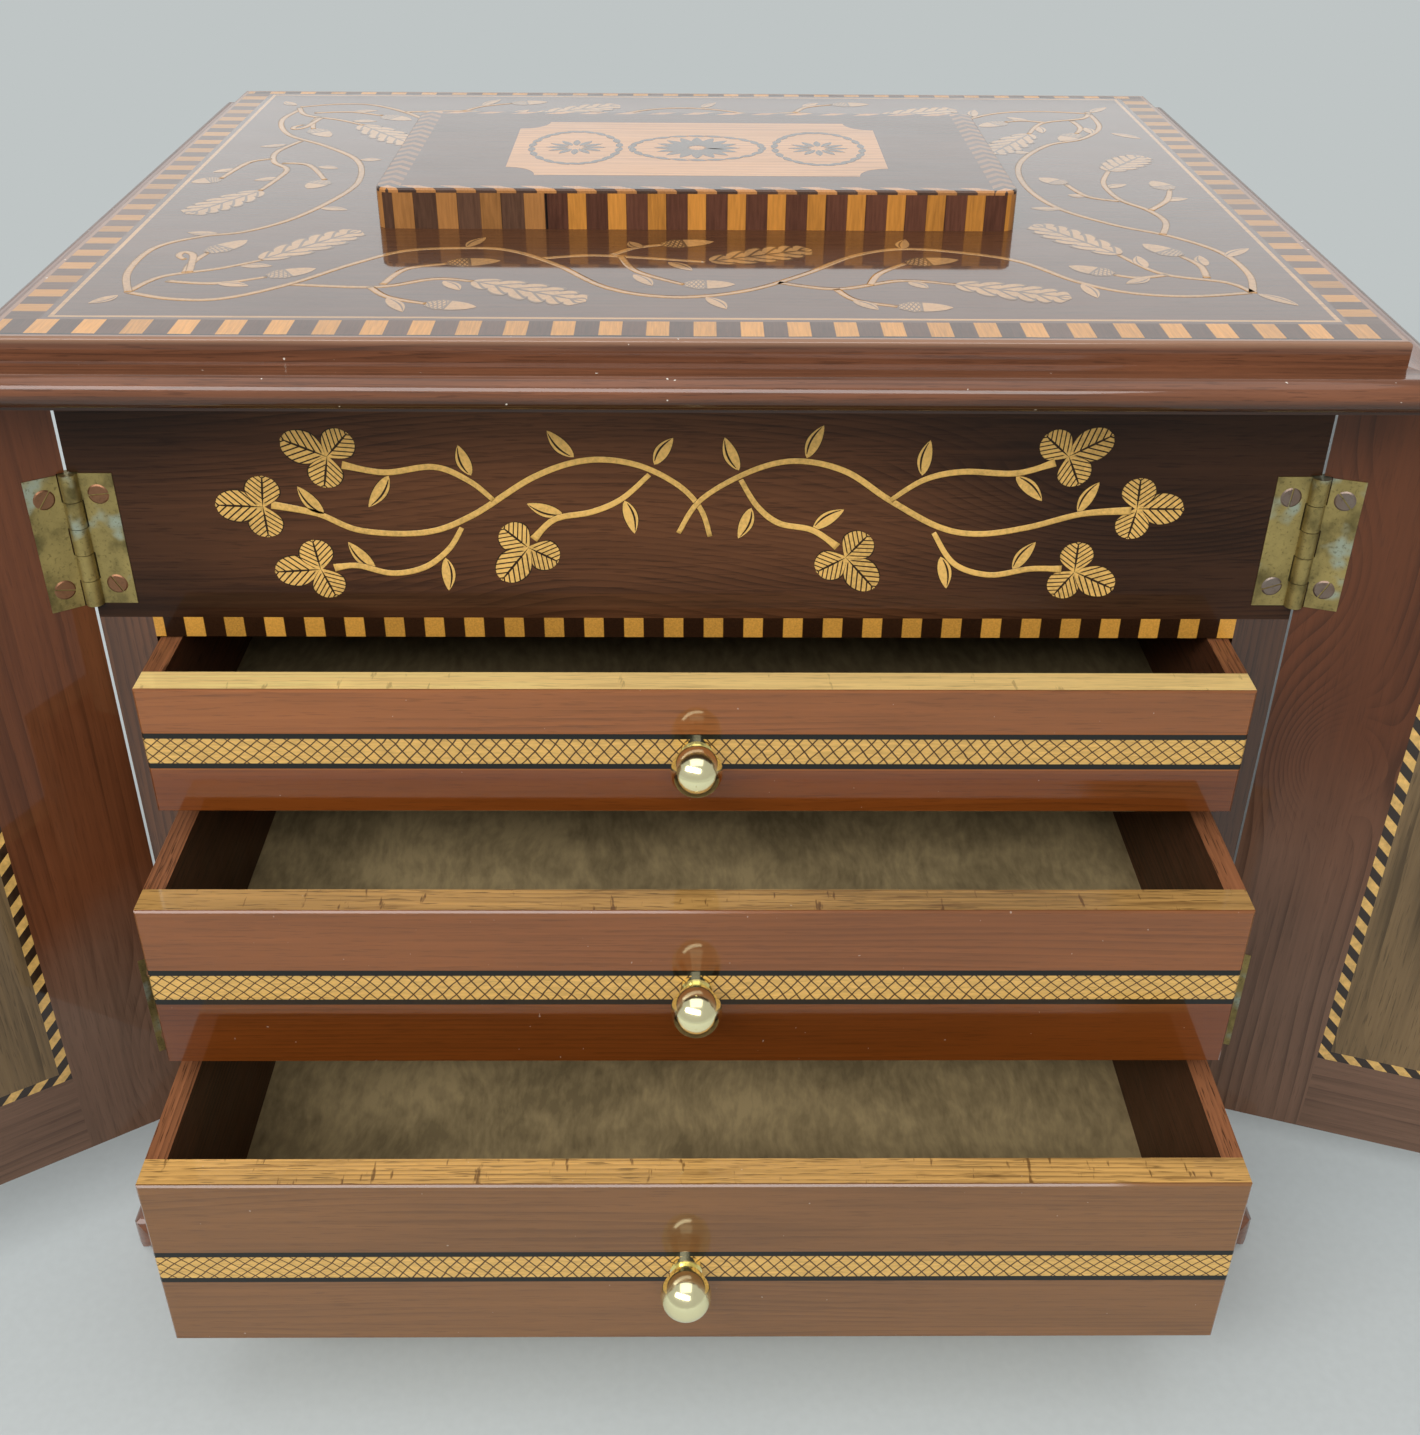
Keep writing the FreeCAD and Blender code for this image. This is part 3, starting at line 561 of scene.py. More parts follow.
def frieze_finish():
    """Walnut, lighter and warmer towards the middle of the board, with two knots."""
    warm_middle, warm_half, cool_from = -30.0, 60.0, 140.0

    def pattern(tree):
        place = grain_place(tree)
        wood, height = timber(tree, place, linear("#56351F"), wander=16.0, contrast=0.5, cloud=1.3,
                              knots=((118, 262, 34, 9.0), (-30, 240, 40, -6.0)))
        off_middle = add_node(tree, "SeparateXYZ", (place,), "X")
        off_middle = add_node(tree, "Math", (off_middle, -warm_middle), operation="ADD")
        off_middle = add_node(tree, "Math", (off_middle,), operation="ABSOLUTE")
        ends = add_node(tree, "MapRange", (off_middle, warm_half, cool_from), **SMOOTH)
        cooler = (0.42, 0.44, 0.48, 1.0)
        wood = add_node(tree, "Mix", (ends, wood, cooler), data_type="RGBA", blend_type="MULTIPLY")
        return wood, height
    return polished("french_polished_walnut_frieze", pattern, coat=0.15)


def frieze_chequer_finish():
    """Boxwood and ebonised blocks let in along the frieze's foot."""
    first, pale, dark = -153.1, linear("#CF9640"), linear("#28160A")

    def pattern(tree):
        place = grain_place(tree)
        run = add_node(tree, "SeparateXYZ", (place,), "X")
        return chequer(tree, run, place, CHEQUER_PITCH, first, 0.5, pale, dark)
    return polished("french_polished_chequer_line", pattern, coat=0.2)


def lid_banding_finish():
    """Crossbanding of golden and dark blocks round the lid, with an open joint along its front edge."""
    front_edge, back_edge = BANDING_LOW.y * 1000, BANDING_HIGH.y * 1000
    front_width, back_width = 11.0, 3.5
    front_first, side_first = -160.0, -118.0
    gold, brown, umber = linear("#D0903E"), linear("#4C3020"), linear("#573C2C")

    def pattern(tree):
        place = grain_place(tree)
        parts = add_node(tree, "SeparateXYZ", (place,), None)
        on_side = band_mask(tree, parts["Y"], front_edge + front_width, back_edge - back_width)
        front, height = chequer(tree, parts["X"], place, BANDING_PITCH, front_first, 0.5, gold, brown)
        turned = grain_place(tree, "Y")
        side = chequer(
            tree, parts["Y"], turned, BANDING_PITCH, side_first, 0.5, shade(gold, 0.75), umber)[0]
        colour = add_node(tree, "Mix", (on_side, front, side), data_type="RGBA")
        ragged = stretched_noise(tree, place, (24, 24, 24))
        ragged = add_node(tree, "Math", (ragged, 1.6), operation="MULTIPLY")
        joint = add_node(tree, "Math", (parts["Y"], ragged), operation="SUBTRACT")
        joint = add_node(tree, "Math", (joint, front_edge), operation="LESS_THAN")
        colour = add_node(tree, "Mix", (joint, colour, linear("#1A100A")), data_type="RGBA")
        return colour, add_node(tree, "Math", (height, joint), operation="SUBTRACT")
    return polished("french_polished_crossbanding", pattern, coat=0.75)


def block_banding_finish():
    """Upright blocks of orange and dark wood; a worn, faded length on the left ends in a crack."""
    crack, first = -42.5, 6.0
    end_face = BLOCK_HIGH.x * 1000 - 1.99
    upright = (0.8, 0.8, 9.0)

    def pattern(tree):
        place = grain_place(tree)
        parts = add_node(tree, "SeparateXYZ", (place,), None)
        at_end = add_node(tree, "Math", (parts["X"],), operation="ABSOLUTE")
        at_end = add_node(tree, "Math", (at_end, end_face), operation="GREATER_THAN")
        along = add_node(tree, "Mix", (at_end, parts["X"], parts["Y"]), data_type="FLOAT")
        faded = add_node(tree, "Math", (along, crack), operation="LESS_THAN")
        even, height = chequer(tree, along, place, BLOCK_PITCH, crack + first, 0.47,
                               linear("#CE8A3C"), linear("#573527"), upright)
        worn = chequer(tree, along, place, WORN_PITCH, crack - WORN_PITCH * 4 + first, 0.48,
                       linear("#A8733F"), linear("#553B2C"), upright)[0]
        colour = add_node(tree, "Mix", (faded, even, worn), data_type="RGBA")
        gap = thin_line(tree, along, crack, 0.35)
        colour = add_node(tree, "Mix", (gap, colour, linear("#120A06")), data_type="RGBA")
        return colour, add_node(tree, "Math", (height, gap), operation="SUBTRACT")
    return polished("french_polished_block_banding", pattern, coat=0.35)


def moulding_finish(colours, part, along):
    """Mahogany, with a painted highlight along its upper edge. The cornice has painted shade low down."""
    low, high = (corner.z * 1000 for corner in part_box(part + "_front"))
    shaded_below = (low + 6.0, low + 3.0) if part == "cornice" else (low, low - 1.0)

    def pattern(tree):
        place = grain_place(tree, along)
        wood, height = timber(tree, place, colours.mahogany, rings=0.2, contrast=0.45)
        level = add_node(tree, "SeparateXYZ", (grain_place(tree),), "Z")
        # Painted shade: the cornice's lower torus is darkened in its colour
        dirt_and_painted_shade = add_node(tree, "MapRange", (level, *shaded_below), **SMOOTH)
        dirt_and_painted_shade = add_node(tree, "Math", (dirt_and_painted_shade, 0.8), operation="MULTIPLY")
        # Painted highlight: the top two millimetres of each moulding are paled in their colour
        painted_light_top = add_node(tree, "MapRange", (level, high - 2.0, high - 0.8), **SMOOTH)
        painted_light_top = add_node(tree, "Math", (painted_light_top, 0.6), operation="MULTIPLY")
        wood = add_node(tree, "Mix", (painted_light_top, wood, linear("#A07A60")), data_type="RGBA")
        return add_node(tree, "Mix", (dirt_and_painted_shade, wood, linear("#301A0C")), data_type="RGBA"), height
    name = f"french_polished_mahogany_{part}_{along.lower()}"
    return polished(name, pattern, gloss=0.055, coat=0.85, dust=0.9)


def door_frame_finish(colours, side, part, along):
    """Polished yew, redder towards the top of the door and browner and greyer towards its foot, partly as
    painted reflection.

    The right door is darker, as painted shade, and its stiles have two knots.
    """
    is_right = side == "right"
    knots = ((60, -12, 20, 4.0),)
    if is_right and part == "stile":
        knots = ((177, 19, 12, 10.0), (236, 8, 16, -4.0))
    rings = 0.45 if is_right else 0.28
    red_above, brown_below = 240 if is_right else 165, 120
    grain = dict(ring=4.0, rings=rings, contrast=0.36, wander=5.0, pores=0.25, knots=knots)

    def pattern(tree):
        place = grain_place(tree, along, side)
        # Painted shade: the right door's yew is taken at 0.75 of its colour
        red, height = timber(tree, place, shade(colours.door_wood, 0.75 if is_right else 1.0), **grain)
        brown = timber(tree, place, linear("#6A5040"), **grain)[0]
        level = add_node(tree, "SeparateXYZ", (grain_place(tree),), "Z")
        cloud = stretched_noise(tree, place, (60, 60, 60))
        cloud = add_node(tree, "Math", (cloud, 60.0), operation="MULTIPLY")
        # Partly painted reflection: the foot turns a greyish brown
        low = add_node(tree, "Math", (level, cloud), operation="ADD")
        low = add_node(tree, "MapRange", (low, red_above, brown_below), **SMOOTH)
        return add_node(tree, "Mix", (low, red, brown), data_type="RGBA"), height
    return polished(f"french_polished_yew_{side}_{part}", pattern, coat=0.4)


def rope_finish(colours, side):
    """Stringing of black and pale woods laid aslant, like rope."""
    def pattern(tree):
        place = grain_place(tree, "X", side)
        parts = add_node(tree, "SeparateXYZ", (place,), None)
        run = add_node(tree, "Math", (parts["X"], float(-SIDE_SIGN[side])), operation="MULTIPLY")
        run = add_node(tree, "Math", (run, parts["Z"]), operation="ADD")
        run = add_node(tree, "Math", (run, ROPE_PITCH), operation="DIVIDE")
        is_pale = add_node(tree, "Math", (run,), operation="FRACT")
        is_pale = add_node(tree, "Math", (is_pale, 0.5), operation="LESS_THAN")
        fibre = stretched_noise(tree, place, (2, 2, 2), 4.0, 0.6)
        pale = add_node(tree, "ValToRGB", (fibre,), stops=[
            (0.3, shade(colours.boxwood, 0.6)), (0.7, colours.boxwood)])
        black = shade(colours.ebonised, 0.6)
        return add_node(tree, "Mix", (is_pale, black, pale), data_type="RGBA"), fibre
    return polished("french_polished_rope_stringing_" + side, pattern)


def block_top_finish(colours):
    """Walnut within an edging: slanted blocks along the front and back, chevrons down both ends."""
    middle, half = (BLOCK_LOW + BLOCK_HIGH) * 500, (BLOCK_HIGH - BLOCK_LOW) * 500
    side_width, end_width = 3.2, 7.0

    def pattern(tree):
        place = grain_place(tree)
        parts = add_node(tree, "SeparateXYZ", (place,), None)
        off_middle = add_node(tree, "Math", (parts["Y"], middle.y), operation="SUBTRACT")
        off_middle = add_node(tree, "Math", (off_middle,), operation="ABSOLUTE")
        from_side = add_node(tree, "Math", (half.y, off_middle), operation="SUBTRACT")
        from_end = add_node(tree, "Math", (parts["X"],), operation="ABSOLUTE")
        from_end = add_node(tree, "Math", (half.x, from_end), operation="SUBTRACT")
        at_side = add_node(tree, "Math", (from_side, side_width), operation="LESS_THAN")
        at_end = add_node(tree, "Math", (from_end, end_width), operation="LESS_THAN")
        slanted = add_node(tree, "Math", (from_side, 1.6), operation="MULTIPLY")
        slanted = add_node(tree, "Math", (parts["X"], slanted), operation="ADD")
        fold = add_node(tree, "Math", (from_end, end_width / 2), operation="SUBTRACT")
        fold = add_node(tree, "Math", (fold,), operation="ABSOLUTE")
        chevron = add_node(tree, "Math", (parts["Y"], fold), operation="ADD")
        chevron = add_node(tree, "Math", (chevron, 2.0), operation="MULTIPLY")
        along = add_node(tree, "Mix", (at_end, slanted, chevron), data_type="FLOAT")
        edging = chequer(tree, along, place, BLOCK_PITCH, 0.0, 0.5, linear("#B97F48"), linear("#4A3428"))[0]
        wood, height = timber(tree, place, shade(colours.walnut, 1.2), rings=0.2, contrast=0.35)
        faint = add_node(tree, "Math", (at_end, 0.45), operation="MULTIPLY")
        shown = add_node(tree, "Math", (at_side, faint), operation="MAXIMUM")
        return add_node(tree, "Mix", (shown, wood, edging), data_type="RGBA"), height
    return polished("french_polished_block_top", pattern, coat=0.88)


def lattice_finish(colours, level):
    """Boxwood strip crossed by fine brown lines both ways, between two ebonised lines."""
    low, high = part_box(level + "_drawer_band")
    centre = (low.z + high.z) * 500
    pale_half, dark_half = (4.0, 5.7) if level == "top" else (4.3, 6.3)
    # The lines lean more towards the ends of the strip
    least_lean, most_lean, lean_from, lean_to = 0.8, 1.15, 20, 120

    def pattern(tree):
        place = grain_place(tree, shift=(0, 0, -centre))
        parts = add_node(tree, "SeparateXYZ", (place,), None)
        height = add_node(tree, "Math", (parts["Z"],), operation="ABSOLUTE")
        wobble = stretched_noise(tree, place, (34, 34, 9), 2.0)
        wobble = add_node(tree, "Math", (wobble, 3.2), operation="MULTIPLY")
        middle = add_node(tree, "Math", (parts["X"],), operation="ABSOLUTE")
        middle = add_node(tree, "MapRange", (middle, lean_to, lean_from), **SMOOTH)
        lean = add_node(tree, "Math", (most_lean, middle), operation="SUBTRACT")
        lean = add_node(tree, "Math", (lean, least_lean), operation="MAXIMUM")
        lean = add_node(tree, "Math", (parts["Z"], lean), operation="MULTIPLY")
        drawn = []
        for operation in ("ADD", "SUBTRACT"):
            run = add_node(tree, "Math", (parts["X"], lean), operation=operation)
            run = add_node(tree, "Math", (run, wobble), operation="ADD")
            run = add_node(tree, "Math", (run, LATTICE_PITCH / 2), operation="PINGPONG")
            drawn.append(thin_line(tree, run, 0.0, 0.33))
        lines = all_of(tree, *drawn)
        fibre = stretched_noise(tree, place, (5, 0.7, 0.7), 4.0, 0.6)
        pale = add_node(tree, "ValToRGB", (fibre,), stops=[
            (0.3, shade(colours.boxwood, 0.66)), (0.7, colours.boxwood)])
        faint = add_node(tree, "Math", (lines, 0.95), operation="MULTIPLY")
        colour = add_node(tree, "Mix", (faint, pale, linear("#40240A")), data_type="RGBA")
        for half, beyond in ((pale_half, linear("#15130D")), (dark_half, colours.yew)):
            outside = add_node(tree, "Math", (height, half), operation="GREATER_THAN")
            colour = add_node(tree, "Mix", (outside, colour, beyond), data_type="RGBA")
        return colour, add_node(tree, "Math", (fibre, lines), operation="SUBTRACT")
    return polished("french_polished_lattice_band_" + level, pattern, coat=0.6)


def drawer_front_finish(colours, level):
    """Yew veneer on the face, with painted shade below the band and towards the right, and nicked ash on
    top, paler on the top drawer as painted light.
    """
    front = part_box(level + "_drawer_front")[0].y * 1000
    low, high = (corner.z * 1000 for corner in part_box(level + "_drawer_band"))
    # The top drawer's ash is made the palest: painted light on its edge
    ash = {"top": linear("#FFDA8E"), "middle": shade(colours.ash, 0.8), "bottom": colours.ash}[level]
    above, below = {
        "top": (colours.yew, colours.yew_shaded_low),
        "middle": (shade(colours.yew, 0.98), shade(colours.yew_shaded_low, 1.0)),
        "bottom": (colours.yew_faded, colours.yew_faded)}[level]
    veneered = dict(ring=2.2, wander=11.0, rings=0.3, contrast=0.26, pores=0.3)
    # On the top drawer the ash gets fewer pores and marks, part of its painted light
    bright = level == "top"
    # Each front is cut from its own part of the flitch. Its veneer is this thick, and painted shade darkens
    # it to the right.
    cut_apart, thick, painted_shade_from, painted_shade_to = 331.0, 0.9, 10.0, 150.0

    def pattern(tree):
        place = grain_place(tree, shift=(LEVELS.index(level) * cut_apart, 0, 0))
        parts = add_node(tree, "SeparateXYZ", (place,), None)
        veneer, height = timber(tree, place, above, **veneered)
        # Painted shade: below the band the veneer takes the darker, redder yew
        shaded_below = add_node(tree, "MapRange", (parts["Z"], (low + high) / 2, low - 4), **SMOOTH)
        redder = timber(tree, place, below, **veneered)[0]
        veneer = add_node(tree, "Mix", (shaded_below, veneer, redder), data_type="RGBA")
        # Painted shade: the veneer darkens towards the right
        right = add_node(tree, "MapRange", (parts["X"], painted_shade_from, painted_shade_to), **SMOOTH)
        darker = (0.84, 0.85, 0.88, 1.0)
        veneer = add_node(tree, "Mix", (right, veneer, darker), data_type="RGBA", blend_type="MULTIPLY")
        core = timber(tree, place, ash, ring=1.6, wander=5.0, contrast=0.2 if bright else 0.5,
                      pores=0.35 if bright else 0.9)[0]
        nicks = stretched_noise(tree, place, (2.6, 12.0, 12.0), 3.0, 0.6)
        nicks = add_node(tree, "MapRange", (nicks, 0.62, 0.7), **SMOOTH)
        stains = stretched_noise(tree, place, (26, 2.5, 9.0), 4.0, 0.6)
        stains = add_node(tree, "MapRange", (stains, 0.55, 0.72), **SMOOTH)
        stains = add_node(tree, "Math", (stains, 0.6), operation="MULTIPLY")
        marks = add_node(tree, "Math", (stains, nicks), operation="MAXIMUM")
        marks = add_node(tree, "Math", (marks, 0.35 if bright else 0.75), operation="MULTIPLY")
        bare = add_node(tree, "Mix", (marks, core, linear("#4E2C12")), data_type="RGBA")
        behind = add_node(tree, "Math", (parts["Y"], front + thick), operation="GREATER_THAN")
        return add_node(tree, "Mix", (behind, veneer, bare), data_type="RGBA"), height
    return polished("french_polished_yew_" + level, pattern, gloss=0.06, dust=0.25)


def lining_finish(colours, name, tone):
    """Curly maple left unpolished: fine wavy curls across the board, mottled and brown with age. Tone
    darkens it; the top drawer's is painted shade.
    """
    curl_wander = (16, 10, 0)

    def pattern(tree):
        place = grain_place(tree)
        warp = add_node(tree, "TexNoise", {"Scale": 0.02, "Detail": 2.0, "Vector": place}, "Color")
        bent = add_node(tree, "VectorMath", (warp, curl_wander), operation="MULTIPLY")
        bent = add_node(tree, "VectorMath", (place, bent), operation="ADD")
        curl = stretched_noise(tree, bent, (2.8, 9, 9), 3.0, 0.6)
        mottle = stretched_noise(tree, place, (34, 34, 34), 4.0, 0.55)
        fine = add_node(tree, "Math", (curl, 0.42), operation="MULTIPLY")
        coarse = add_node(tree, "Math", (mottle, 0.58), operation="MULTIPLY")
        level = add_node(tree, "Math", (fine, coarse), operation="ADD")
        body = add_node(tree, "ValToRGB", (level,), stops=[
            (0.38, shade(colours.lining, 0.68 * tone)), (0.5, shade(colours.lining, tone)),
            (0.61, shade(colours.lining, 1.3 * tone))])
        return body, curl
    return polished("scraped_curly_maple_" + name, pattern, roughness=0.6, coat=0.0, relief=0.12)


def drawer_side_finish(colours, name, along):
    """Oiled mahogany, darkened inside as painted shade and paler along the top edge as painted light,
    chosen by which way each face points.
    """
    def pattern(tree):
        place = grain_place(tree, along)
        facing = add_node(tree, "NewGeometry", output="Normal")
        up = add_node(tree, "SeparateXYZ", (facing,), "Z")
        # Painted shade: the inside faces are darkened in their colour
        dark, height = timber(tree, place, shade(colours.mahogany, 0.5), contrast=0.5, pores=0.9)
        painted_light_top = timber(tree, place, linear("#865638"), ring=1.4, contrast=0.55, pores=1.0)[0]
        # Painted light: faces that point up take the paler wood
        on_top = add_node(tree, "Math", (up, 0.7), operation="GREATER_THAN")
        return add_node(tree, "Mix", (on_top, dark, painted_light_top), data_type="RGBA"), height
    return polished(name, pattern, roughness=0.5, coat=0.2, gloss=0.2)


def brass_finish(name, colour, roughness, patina, tint_of=None):
    """Cast brass: polished bright, or dulled brown with a pale grey-green bloom."""
    material = bpy.data.materials.new(name)
    material.use_nodes = True
    tree = material.node_tree
    tree.nodes.clear()
    place = grain_place(tree)
    cloud = stretched_noise(tree, place, (9, 9, 11), 4.0, 0.6)
    speck = stretched_noise(tree, place, (0.9, 0.9, 0.9), 4.0, 0.6)
    bloom = stretched_noise(tree, place, (13, 13, 13), 3.0, 0.5)
    tint = add_node(tree, "ValToRGB", (cloud,), stops=[
        (0.32, shade(colour, 0.42)), (0.5, colour), (0.68, shade(colour, 1.25))])
    bloom = add_node(tree, "MapRange", (bloom, 0.56, 0.68), **SMOOTH)
    tint = add_node(tree, "Mix", (bloom, tint, linear("#A9B09C")), data_type="RGBA")
    body = add_node(tree, "Mix", (patina, colour, tint), data_type="RGBA")
    if tint_of:
        body = add_node(tree, "Mix", (cloud, tint_of(tree), shade(colour, 0.6)), data_type="RGBA")
    dirt_and_painted_shade = add_node(tree, "MapRange", (speck, 0.52, 0.72), **SMOOTH)
    dirt_and_painted_shade = add_node(tree, "Math", (dirt_and_painted_shade, patina * 0.6), operation="MULTIPLY")
    body = add_node(tree, "Mix", (dirt_and_painted_shade, body, shade(colour, 0.3)), data_type="RGBA")
    rough = add_node(tree, "MapRange", {
        "To Min": roughness * 0.8, "To Max": roughness * 1.3, "Value": cloud})
    bump = add_node(tree, "Bump", {"Strength": 0.02 + patina * 0.2, "Distance": mm(0.1), "Height": speck})
    shader = add_node(tree, "BsdfPrincipled", {
        "Metallic": 1.0 - 0.2 * patina, "Base Color": body, "Roughness": rough, "Normal": bump})
    add_node(tree, "OutputMaterial", {"Surface": shader})
    return material


def inlay_finish(name, pale, marks, coat=1.0, depth=1.0):
    """Boxwood let in and cut with a fine saw.

    marks(tree, edge, across, along) gives a mask that is 1 where dark mastic fills a cut.
    """
    def pattern(tree):
        across = add_node(tree, "Attribute", output="Fac", attribute_name="inlay_across")
        along = add_node(tree, "Attribute", output="Fac", attribute_name="inlay_along")
        place = grain_place(tree)
        fibre = stretched_noise(tree, place, (1.2, 1.2, 1.2), 4.0, 0.65)
        cloud = stretched_noise(tree, place, (20, 20, 20), 2.0, 0.5)
        fine = add_node(tree, "Math", (fibre, 0.6), operation="MULTIPLY")
        coarse = add_node(tree, "Math", (cloud, 0.4), operation="MULTIPLY")
        tone = add_node(tree, "Math", (fine, coarse), operation="ADD")
        wood = add_node(tree, "ValToRGB", (tone,), stops=[
            (0.32, shade(pale, 0.6)), (0.55, pale), (0.75, shade(pale, 1.15))])
        edge = add_node(tree, "Math", (across,), operation="ABSOLUTE")
        cut = add_node(tree, "Math", (marks(tree, edge, across, along), depth), operation="MULTIPLY")
        colour = add_node(tree, "Mix", (cut, wood, linear("#2E1C0C")), data_type="RGBA")
        height = add_node(tree, "Math", (fibre, 0.3), operation="MULTIPLY")
        return colour, add_node(tree, "Math", (height, cut), operation="SUBTRACT")
    return polished(name, pattern, gloss=0.06, coat=coat, relief=0.03)


def rim(tree, edge, start):
    """The dark glue line outside a share of the half width."""
    return add_node(tree, "MapRange", (edge, start, start + 0.06), **SMOOTH)


def thin_line(tree, value, middle, half):
    """1 on a line where value is near middle."""
    away = add_node(tree, "Math", (value, middle), operation="SUBTRACT")
    away = add_node(tree, "Math", (away,), operation="ABSOLUTE")
    outside = add_node(tree, "MapRange", (away, half * 0.6, half), **SMOOTH)
    return add_node(tree, "Math", (1.0, outside), operation="SUBTRACT")


def all_of(tree, *masks):
    """The strongest of several masks."""
    joined = masks[0]
    for mask in masks[1:]:
        joined = add_node(tree, "Math", (joined, mask), operation="MAXIMUM")
    return joined


def stem_marks(tree, edge, across, along):
    """A stem has a glue line down both sides."""
    return rim(tree, edge, 0.86)


def leaf_marks(tree, edge, across, along):
    """A small leaf has one bowed cut beside its middle."""
    cut = thin_line(tree, across, 0.4, 0.17)
    inside = band_mask(tree, along, 0.1, 0.93)
    glue = rim(tree, edge, 0.86)
    cut = add_node(tree, "Math", (cut, inside), operation="MULTIPLY")
    return all_of(tree, glue, cut)


def leaflet_marks(tree, edge, across, along):
    """A leaflet has a midrib and straight veins slanting out towards its end."""
    side = add_node(tree, "Attribute", output="Fac", attribute_name="inlay_side")
    slant = add_node(tree, "Math", (side,), operation="ABSOLUTE")
    slant = add_node(tree, "Math", (slant, 5.0), operation="MULTIPLY")
    run = add_node(tree, "Math", (along, 6.0), operation="MULTIPLY")
    run = add_node(tree, "Math", (run, slant), operation="SUBTRACT")
    run = add_node(tree, "Math", (run,), operation="FRACT")
    veins = thin_line(tree, run, 0.5, 0.17)
    past_stalk = add_node(tree, "MapRange", (along, 0.1, 0.16), **SMOOTH)
    veins = add_node(tree, "Math", (veins, past_stalk), operation="MULTIPLY")
    return all_of(tree, rim(tree, edge, 0.89), thin_line(tree, across, 0.0, 0.08), veins)


def oak_marks(tree, edge, across, along):
    """An oak leaf has a midrib and one slanting vein for each lobe."""
    run = add_node(tree, "Math", (along, 6.0), operation="MULTIPLY")
    slant = add_node(tree, "Math", (edge, 0.9), operation="MULTIPLY")
    run = add_node(tree, "Math", (run, slant), operation="SUBTRACT")
    run = add_node(tree, "Math", (run,), operation="FRACT")
    veins = thin_line(tree, run, 0.2, 0.14)
    return all_of(tree, rim(tree, edge, 0.84), thin_line(tree, across, 0.0, 0.1), veins)


def acorn_marks(tree, edge, across, along):
    """An acorn's cup is hatched both ways, and a line parts it from the nut."""
    drawn = []
    for slant in (1.1, -1.1):
        run = add_node(tree, "Math", (along, 11.0), operation="MULTIPLY")
        lean = add_node(tree, "Math", (across, slant), operation="MULTIPLY")
        run = add_node(tree, "Math", (run, lean), operation="ADD")
        run = add_node(tree, "Math", (run,), operation="FRACT")
        drawn.append(thin_line(tree, run, 0.5, 0.24))
    hatch = all_of(tree, *drawn)
    on_cup = add_node(tree, "Math", (along, 0.4), operation="LESS_THAN")
    hatch = add_node(tree, "Math", (hatch, on_cup), operation="MULTIPLY")
    return all_of(tree, rim(tree, edge, 0.82), hatch, thin_line(tree, along, 0.42, 0.03))


def screw_finish():
    """Old screws: coppery on the left, grey steel on the right, dull and dirty."""
    copper = linear("#9A6E50")

    def tint(tree):
        across = add_node(tree, "SeparateXYZ", (grain_place(tree),), "X")
        right = add_node(tree, "Math", (across, 0.0), operation="GREATER_THAN")
        return add_node(tree, "Mix", (right, copper, linear("#8E8A84")), data_type="RGBA")
    return brass_finish("rubbed_steel_and_copper", copper, 0.38, 0.6, tint)


class CASKET_OT_dress_case(bpy.types.Operator):
    """Polishes the case, plinth and frieze, and lays the chequer line"""
    bl_idname = "casket.dress_case"
    bl_label = "Dress the case"

    def execute(self, context):
        colours = context.scene.casket_colours
        dress(["frieze"], frieze_finish())
        for name, tone in (("case_side_left", 1.5), ("case_side_right", 0.8), ("back_panel", 1.0)):
            wood = walnut_finish(colours, "french_polished_walnut_" + name, "Z", coat=1.0, tone=tone)
            dress([name], wood)
        dress(["case_floor", "lower_dust_board", "upper_dust_board", "compartment_floor", "bottom_board"],
              walnut_finish(colours, "oiled_walnut_boards", "X"))
        dress(["frieze_chequer"], frieze_chequer_finish())
        for along, names in (("X", ("front", "back")), ("Y", ("left", "right"))):
            for part in ("plinth", "cornice"):
                dress([part + "_" + side for side in names], moulding_finish(colours, part, along))
        return {"FINISHED"}


class CASKET_OT_dress_lid(bpy.types.Operator):
    """Polishes the lid and its raised block, with bandings and line"""
    bl_idname = "casket.dress_lid"
    bl_label = "Dress the lid"

    def execute(self, context):
        colours = context.scene.casket_colours
        wood = walnut_finish(
            colours, "french_polished_walnut_lid", "X", coat=1.0, tone=1.3, rings=0.2, contrast=0.3)
        dress(["lid_board", "lid_block"], wood)
        dress(["lid_block_panel"], block_top_finish(colours))
        dress(["lid_banding"], lid_banding_finish())
        dress(["lid_block_banding"], block_banding_finish())
        dress(["lid_stringing"], polished("french_polished_boxwood_line", lambda tree: timber(
            tree, grain_place(tree), linear("#B98A55"), contrast=0.3)))
        return {"FINISHED"}


class CASKET_OT_dress_doors(bpy.types.Operator):
    """Polishes the doors' frames and panels, and lays the rope stringing"""
    bl_idname = "casket.dress_doors"
    bl_label = "Dress the doors"

    def execute(self, context):
        colours = context.scene.casket_colours
        for side in ("left", "right"):
            for part, along in (("stile", "Z"), ("rail", "X")):
                wood = door_frame_finish(colours, side, part, along)
                names = ["hinge_stile", "meeting_stile"] if part == "stile" else ["rails"]
                dress([f"{side}_door_{name}" for name in names], wood)
            panel = polished("french_polished_olive_panel_" + side, lambda tree: timber(
                tree, grain_place(tree, "Z", side), colours.door_panel, ring=6.0, rings=0.35, contrast=0.5),
                coat=0.45)
            dress([side + "_door_panel"], panel)
            dress([side + "_door_stringing"], rope_finish(colours, side))
        return {"FINISHED"}


